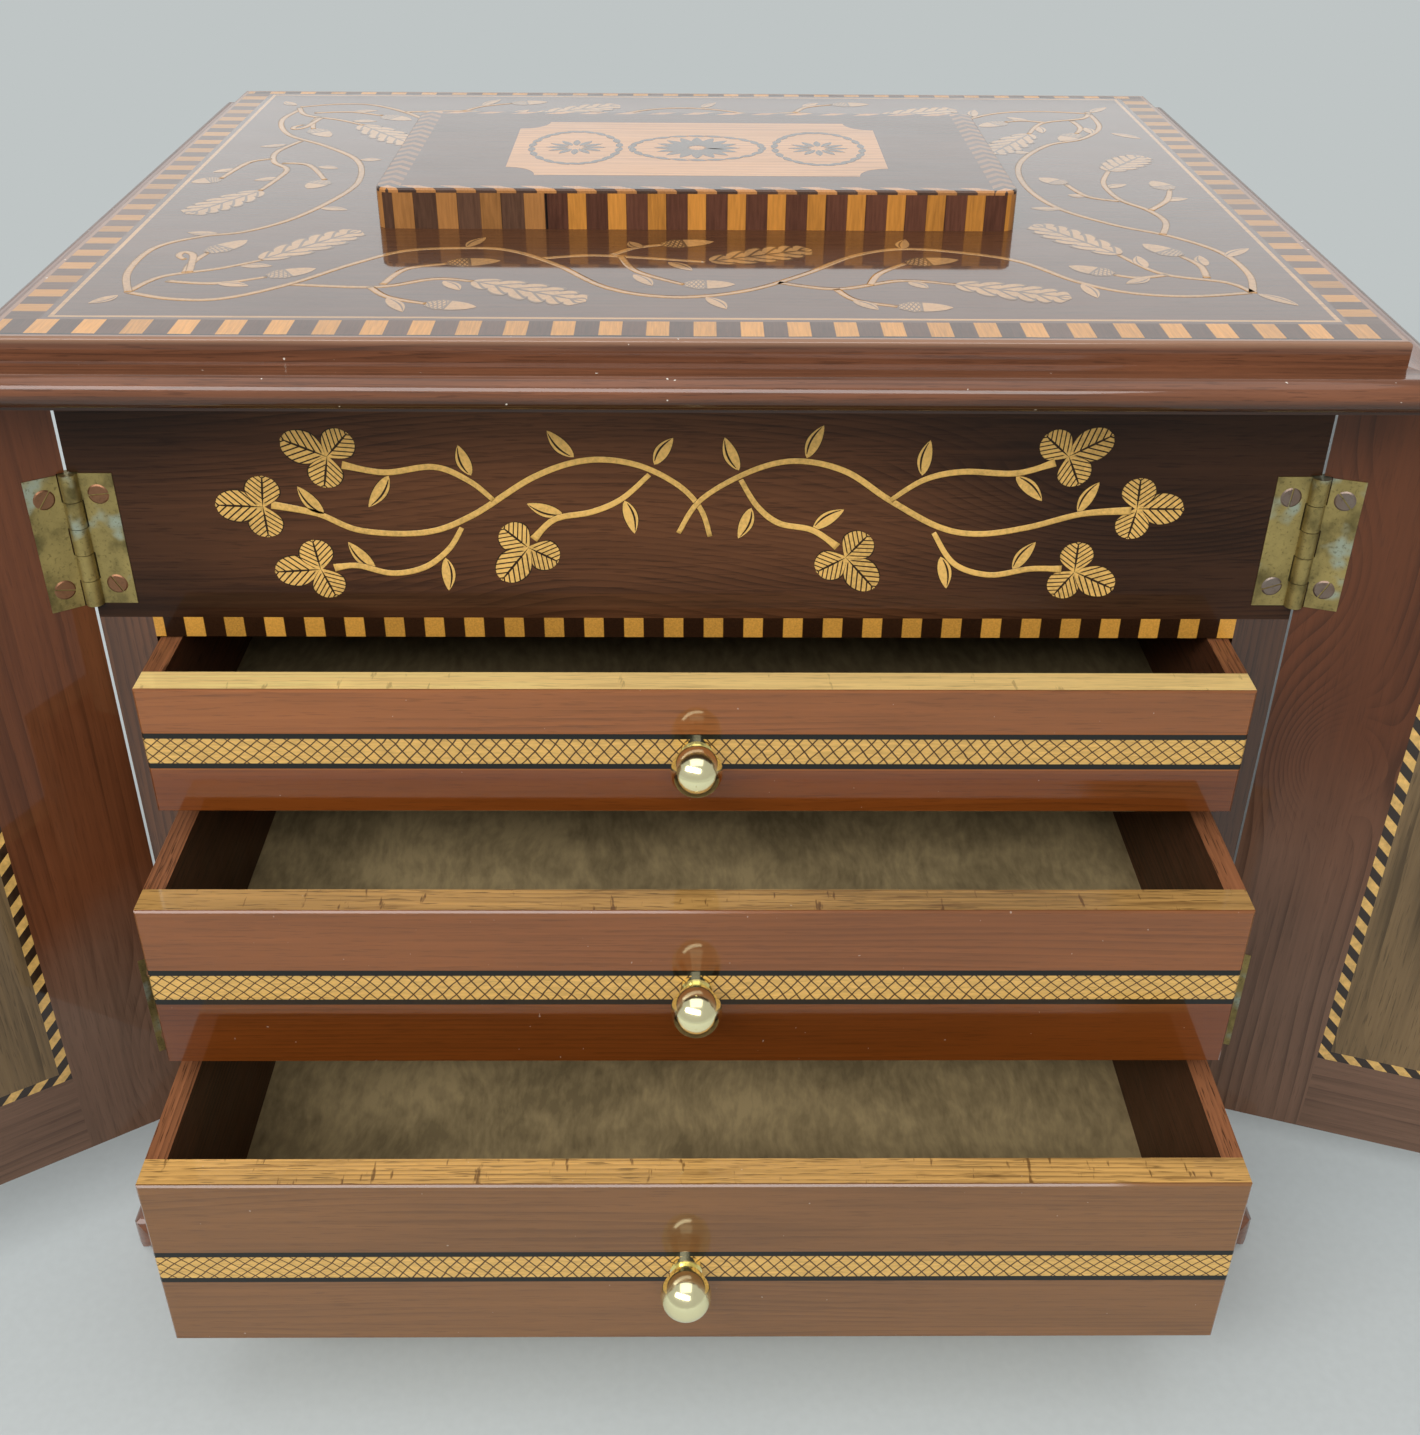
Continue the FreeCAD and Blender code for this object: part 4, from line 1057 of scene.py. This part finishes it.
class CASKET_OT_dress_drawers(bpy.types.Operator):
    """Veneers the drawer fronts, lays their bands and finishes their insides"""
    bl_idname = "casket.dress_drawers"
    bl_label = "Dress the drawers"

    def execute(self, context):
        colours = context.scene.casket_colours
        side_wood = drawer_side_finish(colours, "oiled_mahogany_sides", "Y")
        back_wood = drawer_side_finish(colours, "oiled_mahogany_backs", "X")
        for level in LEVELS:
            drawer = level + "_drawer_"
            dress([drawer + "front"], drawer_front_finish(colours, level))
            dress([drawer + "band"], lattice_finish(colours, level))
            dress([drawer + "side_left", drawer + "side_right"], side_wood)
            dress([drawer + "back"], back_wood)
            # The top drawer's lining is darkened to 0.35: painted shade inside it
            dress([drawer + "bottom"], lining_finish(colours, level, 0.35 if level == "top" else 0.92))
        return {"FINISHED"}


class CASKET_OT_dress_brass(bpy.types.Operator):
    """Finishes the knobs and hinges"""
    bl_idname = "casket.dress_brass"
    bl_label = "Dress the brass"

    def execute(self, context):
        colours = context.scene.casket_colours
        dress([level + "_drawer_knob" for level in LEVELS],
              brass_finish("polished_turned_brass", colours.brass, 0.15, 0.05))
        dress([owner + "_hinge_leaves" for owner in ("case", "lid", "left_door", "right_door")],
              brass_finish("aged_cast_brass", colours.old_brass, 0.42, 1.0))
        return {"FINISHED"}


class CASKET_OT_inlay_frieze(bpy.types.Operator):
    """Lays the frieze's vines, leaves and trefoils"""
    bl_idname = "casket.inlay_frieze"
    bl_label = "Inlay the frieze"

    # Places are millimetres across and up the frieze. A vine starts at its trefoil.
    VINES = (
        ((-113, 255), (-101, 252.4), (-90, 247.5), (-73, 247), (-60, 252), (-43, 263.2), (-29, 268),
         (-16, 266.8), (-5, 261), (1, 254), (3.5, 246)),
        ((-93, 266.5), (-82, 264.4), (-69, 266), (-60, 262), (-54, 256.5)),
        ((-98.5, 236.3), (-92, 237), (-83, 234.7), (-74, 236.5), (-67, 242), (-63, 248.4)),
        ((-44, 245), (-38, 251), (-28, 253.2), (-20, 257), (-12.6, 264)),
        ((116, 254), (103, 253), (89, 249), (76, 247), (65, 249), (51, 257), (39, 265.1), (26, 268),
         (14, 265), (1, 256.8), (-5, 247)),
        ((94, 267.8), (84, 264.7), (70, 265.1), (60, 262.8), (51.4, 256.8)),
        ((99.5, 236.4), (91, 236.5), (80, 234.6), (70, 238), (63.7, 247.3)),
        ((38, 243), (31, 248), (22, 250), (16, 255), (11.5, 262.6)),
    )
    # Trefoils: middle, then the ways that the long leaflet and the two short ones point, in degrees
    TREFOILS = (
        (-96.6, 268.8, 157, 48, -101), (-115.3, 254.4, 178, 84, -88), (-102.2, 235.8, -176, 98, -69),
        (-45.5, 242.5, -128, 138, -28), (97.3, 269.5, 29, 139, -65), (117.5, 254.5, 0, 92, -98),
        (103.2, 235.6, -25, 90, -124), (40.4, 239.8, -49, 50, -150),
    )
    # Leaves: stalk, the way it points and its length
    LEAVES = (
        (-99.3, 252.4, 128, 10), (-81.1, 263.5, -124, 11), (-59.4, 263.6, 109, 9),
        (-32.2, 268.9, 133, 10), (-11.2, 266.8, 57, 9), (-35.7, 252.4, 162, 10), (-19.3, 256.5, -75, 10),
        (-87.3, 235.9, 129, 10.5), (-68.1, 239.4, -89, 10), (11, 265.3, 113, 10), (28.7, 268.8, 66, 10),
        (59.3, 264, 82, 10), (84, 263.8, -42, 10.5), (101.8, 253.3, 63, 10), (31.1, 248.2, 36, 10),
        (14.4, 254.5, -110, 9.6), (86.2, 236.1, 58, 10), (66.1, 240.1, -76, 10),
    )
    LONG, SHORT, ROUND, LEAF_WIDTH = 12.6, 9.0, 9.8, 4.1

    def execute(self, context):
        pale, sizes = context.scene.casket_colours.boxwood, context.scene.casket_inlay
        stands_up = Matrix.Translation((0, FRIEZE_FACE, 0)) @ Matrix.Rotation(math.pi / 2, 4, "X")
        lift = sizes.proud * 1000
        lay_lines("frieze_stems", "case", self.VINES, lift, NEXT_FRIEZE_STEM, {
            "Width": sizes.frieze_stem, "Flare": 1.35, "Tip": 0.8,
            "Material": inlay_finish("sawn_boxwood_stem", pale, stem_marks, 0.2)}, stands_up)
        lengths = (self.LONG, self.SHORT, self.SHORT)
        leaflets = [(x, z, way, length)
                    for x, z, *ways in self.TREFOILS for way, length in zip(ways, lengths)]
        for name, rows, width, raised, shape, marks in (
                ("frieze_leaves", self.LEAVES, self.LEAF_WIDTH, 0.0, SMALL_LEAF, leaf_marks),
                ("frieze_trefoils", leaflets, self.ROUND, 0.005, (leaflet_half, 16), leaflet_marks)):
            wood = inlay_finish("sawn_boxwood_" + name, pale, marks, 0.2)
            lay_pieces(name, "case", flat_rows(rows, width, lift + raised), shape, wood, stands_up)
        return {"FINISHED"}


def mirrored(rows):
    """The same inlay on the lid's back half: each place and way turned over about the block's middle."""
    middle = (BLOCK_LOW.y + BLOCK_HIGH.y) * 1000
    return [(row[0], middle - row[1]) + ((-row[2], row[3]) if len(row) > 2 else ()) for row in rows]


class CASKET_OT_inlay_lid(bpy.types.Operator):
    """Lays the lid's vines, oak leaves, acorns and small leaves round the block"""
    bl_idname = "casket.inlay_lid"
    bl_label = "Inlay the lid"

    # Places are millimetres across and back on the lid
    FRONT_VINE = (
        (-144, -103), (-132, -108), (-119, -107.5), (-105, -96), (-92, -79), (-80, -67), (-66, -64),
        (-52, -65.5), (-38, -78), (-23, -98), (-6, -105), (12, -100), (28, -86), (42, -70), (56, -63),
        (72, -66), (87, -74), (99, -91), (111, -100), (126, -102.5), (142, -99.5),
    )
    SIDE_VINES = (
        ((-144, -103), (-149, -86), (-148, -65), (-138, -54), (-127, -49), (-116, -35), (-107, -10),
         (-105, 9), (-110, 32), (-124, 51), (-139, 66), (-146, 87), (-143, 105)),
        ((142.5, -100), (146, -84), (144, -65), (134, -49.5), (120, -38), (107, -20), (102, 5), (105, 32),
         (118, 56), (132, 66), (142, 84), (142.5, 108)),
    )
    FRONT_SPRIGS = (
        ((-144, -102), (-139, -90), (-126, -83), (-116, -75)),
        ((-134, -87), (-134.5, -79), (-132.5, -69)),
        ((-133, -86.5), (-134.5, -78), (-136, -71), (-139, -68.5), (-139.6, -72), (-137, -75.5)),
        ((-137, -93.7), (-124, -95.5), (-112, -90)),
        ((-105, -96), (-88, -98), (-79, -97), (-68, -91), (-58, -93)),
        ((-81, -96), (-77, -83), (-66.6, -78)), ((-84, -97.7), (-78, -106), (-67.7, -111)),
        ((-42, -73), (-29, -70), (-15, -72), (2, -75.5)), ((-23, -69.5), (-17, -63), (-9.6, -60)),
        ((-20.8, -70.5), (-16, -84), (-3.5, -95)), ((21, -93), (36, -98), (53, -91), (67, -94)),
        ((44.5, -95), (48, -85), (56, -76)), ((35.5, -98), (40, -107), (50, -111.7)),
        ((142.5, -99), (138, -91), (123, -84), (115, -67)), ((134, -87.5), (135, -77), (131.8, -68)),
        ((124, -85), (116, -87.5), (109.9, -85)),
    )
    SIDE_SPRIGS = (
        ((-133, 57.7), (-138, 42), (-136, 29), (-130, 20), (-130.5, 8), (-132.7, -6)),
        ((-137.5, 33), (-144, 28), (-148, 8)), ((-133, 27.5), (-124, 25), (-115.5, 7)),
        ((132, -48), (136, -35), (134, -23), (128, -11), (127, 7), (132, 23)),
        ((134.5, -23), (142, -12), (146, 0)), ((127.6, -13), (119, -8), (115, 6)),
    )
    # Leaves: stalk, the way it points in degrees, and length
    FRONT_OAK = ((-116.7, -75, 52, 35), (-58, -93, -28, 34), (3.5, -75, 22, 30), (67, -94, -21, 30),
                 (115.2, -67, 122, 34))
    SIDE_OAK = ((-132.5, -6.4, -121, 30), (131.9, 23, 52, 25))
    FRONT_ACORNS = (
        (-132.5, -69, 56, 14), (-111.8, -89.5, 31, 13), (-66.6, -77.6, 9, 14), (-67.7, -111, -11, 13),
        (-9.6, -60, 12, 14.5), (-3.3, -94.8, 1, 13), (56.3, -75.7, 12, 14.5), (50.3, -111.7, -3, 13.5),
        (131.8, -68, 125, 13.3), (109.8, -84.7, 146, 12.5),
    )
    SIDE_ACORNS = (
        (-148, 7.6, -150, 9), (-115.4, 6.4, -109, 10.3), (146, 0.4, 106, 10.8), (115, 6.7, 135, 10),
    )
    FRONT_LEAVES = (
        (-145.9, -105.4, -130, 8.5), (-121, -81, 1, 8.5), (-123.4, -95.7, -13, 8.7), (-65.8, -93, -55, 9),
        (-78.2, -106.8, -62, 12), (-63.2, -63.2, 66, 10.3), (-15.2, -63.2, 122, 7),
        (-16.8, -86.8, -61, 10.6), (-7.9, -76, -48, 9.8), (2.1, -105, -61, 10.5), (54.8, -92, -49, 7),
        (39.2, -107, -52, 9.3), (56.5, -63.3, 80, 9.4), (120, -79, 90, 10.6), (118.8, -87, -142, 9.3),
        (136.6, -77, 87, 9.2), (144, -69, 43, 12), (99.8, -93, -81, 11.5), (143.5, -100.5, -50, 12),
    )
    SIDE_LEAVES = (
        (-134.3, -51.1, 175, 8.7), (-137, 52, -158, 8.7), (-147, 20, -140, 7), (-120.7, 23, -18, 7),
        (-131, 9.7, -148, 7.3), (-109, 32, 2, 7), (-110.7, -25, -12, 8.5), (127, 2, 33, 8.4),
        (141, -12.4, 19, 8.6), (108.1, -22, 175, 9), (110.6, 46, 164, 6.4), (118.5, -7.6, 166, 5.5),
    )
    OAK_WIDTH, ACORN_WIDTH, LEAF_WIDTH = 14.5, 8.2, 4.2

    def execute(self, context):
        sizes = context.scene.casket_inlay
        lift = sizes.proud * 1000
        lies_on_lid = Matrix.Translation((0, 0, LID_TOP))
        vines = [self.FRONT_VINE, mirrored(self.FRONT_VINE), *self.SIDE_VINES]
        sprigs = [*self.FRONT_SPRIGS, *map(mirrored, self.FRONT_SPRIGS), *self.SIDE_SPRIGS]
        pale = linear("#B98A55")
        wood = inlay_finish("sawn_boxwood_vine", pale, stem_marks, 1.0, 0.35)
        for name, lines, raised, tip in (
                ("lid_vines", vines, 0.01, 1.0), ("lid_sprigs", sprigs, 0.0, 0.75)):
            lay_lines(name, "lid", lines, lift + raised, NEXT_LID_STEM, {
                "Width": sizes.lid_stem, "Flare": 1.0, "Tip": tip, "Material": wood}, lies_on_lid)
        for name, front, side, width, shape, marks in (
                ("lid_oak_leaves", self.FRONT_OAK, self.SIDE_OAK, self.OAK_WIDTH, (oak_half, 60, 0.22),
                 oak_marks),
                ("lid_acorns", self.FRONT_ACORNS, self.SIDE_ACORNS, self.ACORN_WIDTH, (acorn_half, 24),
                 acorn_marks),
                ("lid_leaves", self.FRONT_LEAVES, self.SIDE_LEAVES, self.LEAF_WIDTH, SMALL_LEAF,
                 leaf_marks)):
            rows = flat_rows([*front, *mirrored(front), *side], width, lift + 0.012)
            wood = inlay_finish("sawn_boxwood_" + name, pale, marks, 1.0, 0.75)
            lay_pieces(name, "lid", rows, shape, wood, lies_on_lid)
        return {"FINISHED"}


class CASKET_OT_ornament_block(bpy.types.Operator):
    """Lays a pale plate with a rosette and husk garlands on the raised block"""
    bl_idname = "casket.ornament_block"
    bl_label = "Ornament the block"

    PLATE = (112.0, 66.0)
    SCOOP = 9.0
    # Rosettes: middle, number of petals, their length, and the half sizes of the garland round them
    ROSETTES = (
        (0.0, 16, 11.0, (17.0, 13.0)), (-37.0, 12, 7.0, (11.5, 17.0)), (37.0, 12, 7.0, (11.5, 17.0)),
    )
    # A rosette's eye, and a petal's width as a share of its length
    EYE, PETAL_SHARE = 2.2, 0.32
    # A garland's husks: their number, length and width, and how far they spread past its half sizes
    HUSKS, HUSK_LENGTH, HUSK_WIDTH, SPREAD = 22, 6.0, 2.3, 1.15

    def execute(self, context):
        colours, sizes = context.scene.casket_colours, context.scene.casket_inlay
        middle = (BLOCK_LOW + BLOCK_HIGH) / 2
        place = Matrix.Translation((middle.x, middle.y, BLOCK_HIGH.z))
        self.plate(place, sizes.proud)
        rows = []
        for centre, petals, length, wide in self.ROSETTES:
            for number in range(petals):
                turn = 2 * math.pi * number / petals
                rows.append(((centre + self.EYE * math.cos(turn), self.EYE * math.sin(turn)), (0, 0, turn),
                             (length, length * self.PETAL_SHARE, 1.0)))
        for centre, petals, length, wide in self.ROSETTES:
            for number in range(self.HUSKS):
                turn = 2 * math.pi * number / self.HUSKS
                way = math.atan2(wide[1] * math.cos(turn), -wide[0] * math.sin(turn))
                out = (wide[0] * self.SPREAD * math.cos(turn), wide[1] * self.SPREAD * math.sin(turn))
                rows.append(((centre + out[0], out[1]), (0, 0, way),
                             (self.HUSK_LENGTH, self.HUSK_WIDTH, 1.0)))
        rows = [((x, y, sizes.proud * 2000 + NEXT_LEAF * (number % 5)), turn, spread)
                for number, ((x, y), turn, spread) in enumerate(rows)]
        dark = inlay_finish("stained_sycamore_husk", shade(colours.ebonised, 2.2), leaf_marks)
        lay_pieces("block_husks", "lid", rows, (leaf_half, 10), dark, place, VENEER / 2)
        return {"FINISHED"}

    def plate(self, place, proud):
        """The plate, its corners scooped out."""
        half_x, half_y = (size / 2 for size in self.PLATE)
        outline = []
        for turn, (sx, sy) in enumerate(((1, 1), (-1, 1), (-1, -1), (1, -1))):
            for step in range(9):
                angle = math.pi * (1.5 + turn * 0.5) - math.pi / 2 * step / 8
                outline.append(mm(sx * half_x + self.SCOOP * math.cos(angle),
                                  sy * half_y + self.SCOOP * math.sin(angle), 0))
        mesh = bpy.data.meshes.new("block_plate")
        edit = bmesh.new()
        face = edit.faces.new([edit.verts.new(point) for point in outline])
        face.normal_update()
        if face.normal.z < 0:
            face.normal_flip()
        bmesh.ops.translate(edit, verts=edit.verts, vec=(0, 0, proud))
        bmesh.ops.triangulate(edit, faces=edit.faces)
        bmesh.ops.solidify(edit, geom=list(edit.faces), thickness=VENEER)
        bmesh.ops.recalc_face_normals(edit, faces=edit.faces)
        bmesh.ops.transform(edit, matrix=place, verts=edit.verts)
        edit.to_mesh(mesh)
        edit.free()
        mesh.materials.append(polished("french_polished_satinwood", lambda tree: timber(
            tree, grain_place(tree), linear("#C28A55"), ring=3.0, contrast=0.3, pores=0.3), coat=0.85))
        plate = bpy.data.objects.new("block_plate", mesh)
        bpy.context.scene.collection.objects.link(plate)
        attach(plate, "lid")


class CASKET_OT_screw_hinges(bpy.types.Operator):
    """Sets slotted screws in the leaves of the doors' hinges"""
    bl_idname = "casket.screw_hinges"
    bl_label = "Screw the hinges"

    def execute(self, context):
        sizes = context.scene.casket_hinges
        leaf_face = mm(0.15)
        rows = {"case": [], "left_door": [], "right_door": []}
        for side, sign in SIDE_SIGN.items():
            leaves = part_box(side + "_door_hinge_leaves")
            half = HINGE_LENGTH / 2
            heights = (leaves[0].z + half, leaves[1].z - half)
            turn = Matrix.Rotation(math.radians(sign * DOOR_REST[side]), 3, "Z")
            for number, (height, up) in enumerate((h, u) for h in heights for u in (-1, 1)):
                rise = height + up * sizes.from_centre
                on_case = DOOR_AXIS[side] + Vector((-sign * sizes.from_axis, leaf_face, rise))
                on_door = DOOR_AXIS[side] + turn @ Vector((-sign * sizes.from_axis, -leaf_face, rise))
                # Each slot has come to rest at an angle of its own
                slot = math.radians(25 + 67 * number + 40 * sign)
                rows["case"].append((on_case, Matrix.Rotation(math.pi / 2, 3, "X"), slot))
                rows[side + "_door"].append(
                    (on_door, turn @ Matrix.Rotation(-math.pi / 2, 3, "X"), slot + 0.8))
        piece = self.screw(sizes.head)
        finish = screw_finish()
        for body, screws in rows.items():
            points = point_mesh([
                (place * 1000, (stand @ Matrix.Rotation(slot, 3, "Z")).to_euler(), (1000, 1000, 1000))
                for place, stand, slot in screws])
            finished(body + "_screws", body, points, scatter_tree(), {
                "Piece": piece, "Material": finish}, Matrix())
        bpy.data.objects.remove(piece)
        return {"FINISHED"}

    def screw(self, width):
        """A countersunk head with an open slot, lying face up."""
        radius, slot, deep, proud, bevel = width / 2, mm(0.2), mm(0.25), mm(0.25), mm(0.5)
        edit = bmesh.new()
        for side in (1, -1):
            limit = math.asin(slot / radius)
            angles = [limit + (math.pi - 2 * limit) * i / 14 for i in range(15)]
            rings = []
            for shrink, height in ((1.0, -deep), (1.0, proud - bevel * 0.6), (1 - bevel / radius, proud)):
                rings.append([edit.verts.new((side * radius * shrink * math.cos(a),
                                              side * max(radius * shrink * math.sin(a), slot), height))
                              for a in angles])
            for low, high in zip(rings, rings[1:]):
                for i in range(len(angles)):
                    after = (i + 1) % len(angles)
                    edit.faces.new((low[i], low[after], high[after], high[i]))
            edit.faces.new(rings[-1])
            edit.faces.new(list(reversed(rings[0])))
        inner, corners = radius * 0.97, 24
        turns = [2 * math.pi * i / corners for i in range(corners)]
        edit.faces.new([
            edit.verts.new((inner * math.cos(a), inner * math.sin(a), -deep * 0.5)) for a in turns])
        bmesh.ops.recalc_face_normals(edit, faces=edit.faces)
        mesh = bpy.data.meshes.new("screw_head")
        edit.to_mesh(mesh)
        edit.free()
        return bpy.data.objects.new("screw_head", mesh)


class CASKET_OT_stage(bpy.types.Operator):
    """Builds the floor, the backdrop, the lamps and the camera"""
    bl_idname = "casket.stage"
    bl_label = "Set the stage"

    def execute(self, context):
        settings = context.scene.casket_stage
        context.scene.view_settings.view_transform = "Standard"
        self.floor(settings)
        self.lamps(context.scene, settings)
        self.camera(context.scene, settings)
        return {"FINISHED"}

    def floor(self, settings):
        """A floor that curves up into a backdrop."""
        width, near, far, bend, top = 4.0, -3.0, 2.2, 0.9, 3.0
        steps = 16
        line = [(near, 0.0), (far, 0.0)]
        line += [(far + bend * math.sin(a), bend - bend * math.cos(a))
                 for a in (math.pi / 2 * i / steps for i in range(1, steps + 1))]
        line.append((far + bend, top))
        mesh = bpy.data.meshes.new("floor_sweep")
        mesh.from_pydata([(x, y, z) for y, z in line for x in (-width, width)], [],
                         [(2 * i, 2 * i + 1, 2 * i + 3, 2 * i + 2) for i in range(len(line) - 1)])
        for face in mesh.polygons:
            face.use_smooth = True
        material = bpy.data.materials.new("matt_paper_sweep")
        material.use_nodes = True
        tree = material.node_tree
        tree.nodes.clear()
        fibre = stretched_noise(tree, grain_place(tree), (3, 3, 3), 3.0)
        colour = add_node(tree, "ValToRGB", (fibre,), stops=[
            (0.3, shade(settings.floor_colour, 1.06)), (0.7, shade(settings.floor_colour, 1.1))])
        shader = add_node(tree, "BsdfPrincipled",
            {"Roughness": 0.9, "Specular IOR Level": 0.1, "Base Color": colour})
        place = add_node(tree, "TexCoord", output="Object")
        away = add_node(tree, "VectorMath", (place,), "Value", operation="LENGTH")
        start = settings.plain_from
        far_off = add_node(tree, "MapRange", (away, start, start + 0.5), **SMOOTH)
        ray = add_node(tree, "LightPath", output=None)
        seen = all_of(tree, *(ray[f"Is {kind} Ray"] for kind in ("Camera", "Glossy", "Transmission")))
        plain = add_node(tree, "Emission", {"Color": settings.floor_colour})
        shown = add_node(tree, "Math", (seen, far_off), operation="MULTIPLY")
        shader = add_node(tree, "MixShader", (shown, shader, plain))
        add_node(tree, "OutputMaterial", {"Surface": shader})
        mesh.materials.append(material)
        floor = bpy.data.objects.new("floor_sweep", mesh)
        bpy.context.scene.collection.objects.link(floor)

    def lamps(self, scene, settings):
        """A softbox overhead, a panel behind for the polish to catch, a softbox in front and the room."""
        for name, power, size, place, target in (
                ("top_softbox", settings.top_power, (1.8, 1.8), (0.0, -0.2, 2.0), (0, 0, 0.15)),
                ("back_panel", settings.back_power, (3.4, 0.95), (0.0, 1.7, 1.1), (0, 0, 0.3)),
                ("front_softbox", settings.front_power, (2.6, 0.7), (-0.55, -1.53, 1.5), (0, 0, 0.2))):
            light = bpy.data.lights.new(name, "AREA")
            light.shape = "RECTANGLE"
            light.size, light.size_y = size
            light.energy = power
            lamp = bpy.data.objects.new(name, light)
            lamp.location = place
            lamp.rotation_euler = (Vector(target) - Vector(place)).to_track_quat("-Z", "Y").to_euler()
            scene.collection.objects.link(lamp)
        world = bpy.data.worlds.new("studio_room")
        world.use_nodes = True
        background = world.node_tree.nodes["Background"]
        background.inputs["Color"].default_value = linear("#F4F6F6")
        background.inputs["Strength"].default_value = settings.sky
        scene.world = world

    def camera(self, scene, settings):
        """The camera at the photograph's viewing angle."""
        pitch, yaw, roll = settings.pitch, settings.yaw, settings.roll
        ahead = Vector((math.sin(yaw) * math.cos(pitch), math.cos(yaw) * math.cos(pitch), -math.sin(pitch)))
        right = Vector((math.cos(yaw), -math.sin(yaw), 0))
        up = right.cross(ahead)
        leaned_right = math.cos(roll) * right + math.sin(roll) * up
        leaned_up = math.cos(roll) * up - math.sin(roll) * right
        data = bpy.data.cameras.new("casket_camera")
        data.sensor_width = 36.0
        data.sensor_fit = "HORIZONTAL"
        data.lens = settings.lens
        data.clip_start = 0.01
        camera = bpy.data.objects.new("casket_camera", data)
        axes = Matrix((leaned_right, leaned_up, -ahead)).transposed()
        camera.matrix_world = Matrix.Translation(Vector(settings.camera_place)) @ axes.to_4x4()
        scene.collection.objects.link(camera)
        scene.camera = camera


class CASKET_PT_sidebar(bpy.types.Panel):
    """Lists what can be dressed"""
    bl_label = "Casket"
    bl_idname = "CASKET_PT_sidebar"
    bl_space_type = "VIEW_3D"
    bl_region_type = "UI"
    bl_category = "Casket"

    def draw(self, context):
        for group in (context.scene.casket_colours, context.scene.casket_inlay,
                      context.scene.casket_hinges, context.scene.casket_stage):
            box = self.layout.box()
            for name in group.bl_rna.properties.keys():
                if name not in ("rna_type", "name"):
                    box.prop(group, name)
        for operator in OPERATORS:
            self.layout.operator(operator.bl_idname)


GROUPS = {
    "casket_colours": CasketColours,
    "casket_inlay": CasketInlaySizes,
    "casket_hinges": CasketHingeSizes,
    "casket_stage": CasketStageSettings,
}
OPERATORS = [
    CASKET_OT_dress_case,
    CASKET_OT_dress_lid,
    CASKET_OT_dress_doors,
    CASKET_OT_dress_drawers,
    CASKET_OT_dress_brass,
    CASKET_OT_inlay_frieze,
    CASKET_OT_inlay_lid,
    CASKET_OT_ornament_block,
    CASKET_OT_screw_hinges,
    CASKET_OT_stage,
]


def register():
    """Adds the settings, the operators and the panel."""
    for kind in list(GROUPS.values()) + OPERATORS + [CASKET_PT_sidebar]:
        bpy.utils.register_class(kind)
    for name, group in GROUPS.items():
        setattr(bpy.types.Scene, name, bpy.props.PointerProperty(type=group))


def unregister():
    """Takes them away again."""
    for name in GROUPS:
        delattr(bpy.types.Scene, name)
    for kind in reversed(list(GROUPS.values()) + OPERATORS + [CASKET_PT_sidebar]):
        bpy.utils.unregister_class(kind)


def main():
    """Dresses the casket, one operator after another."""
    register()
    for operator in OPERATORS:
        group, name = operator.bl_idname.split(".")
        getattr(getattr(bpy.ops, group), name)()


if __name__ == "__main__":
    main()
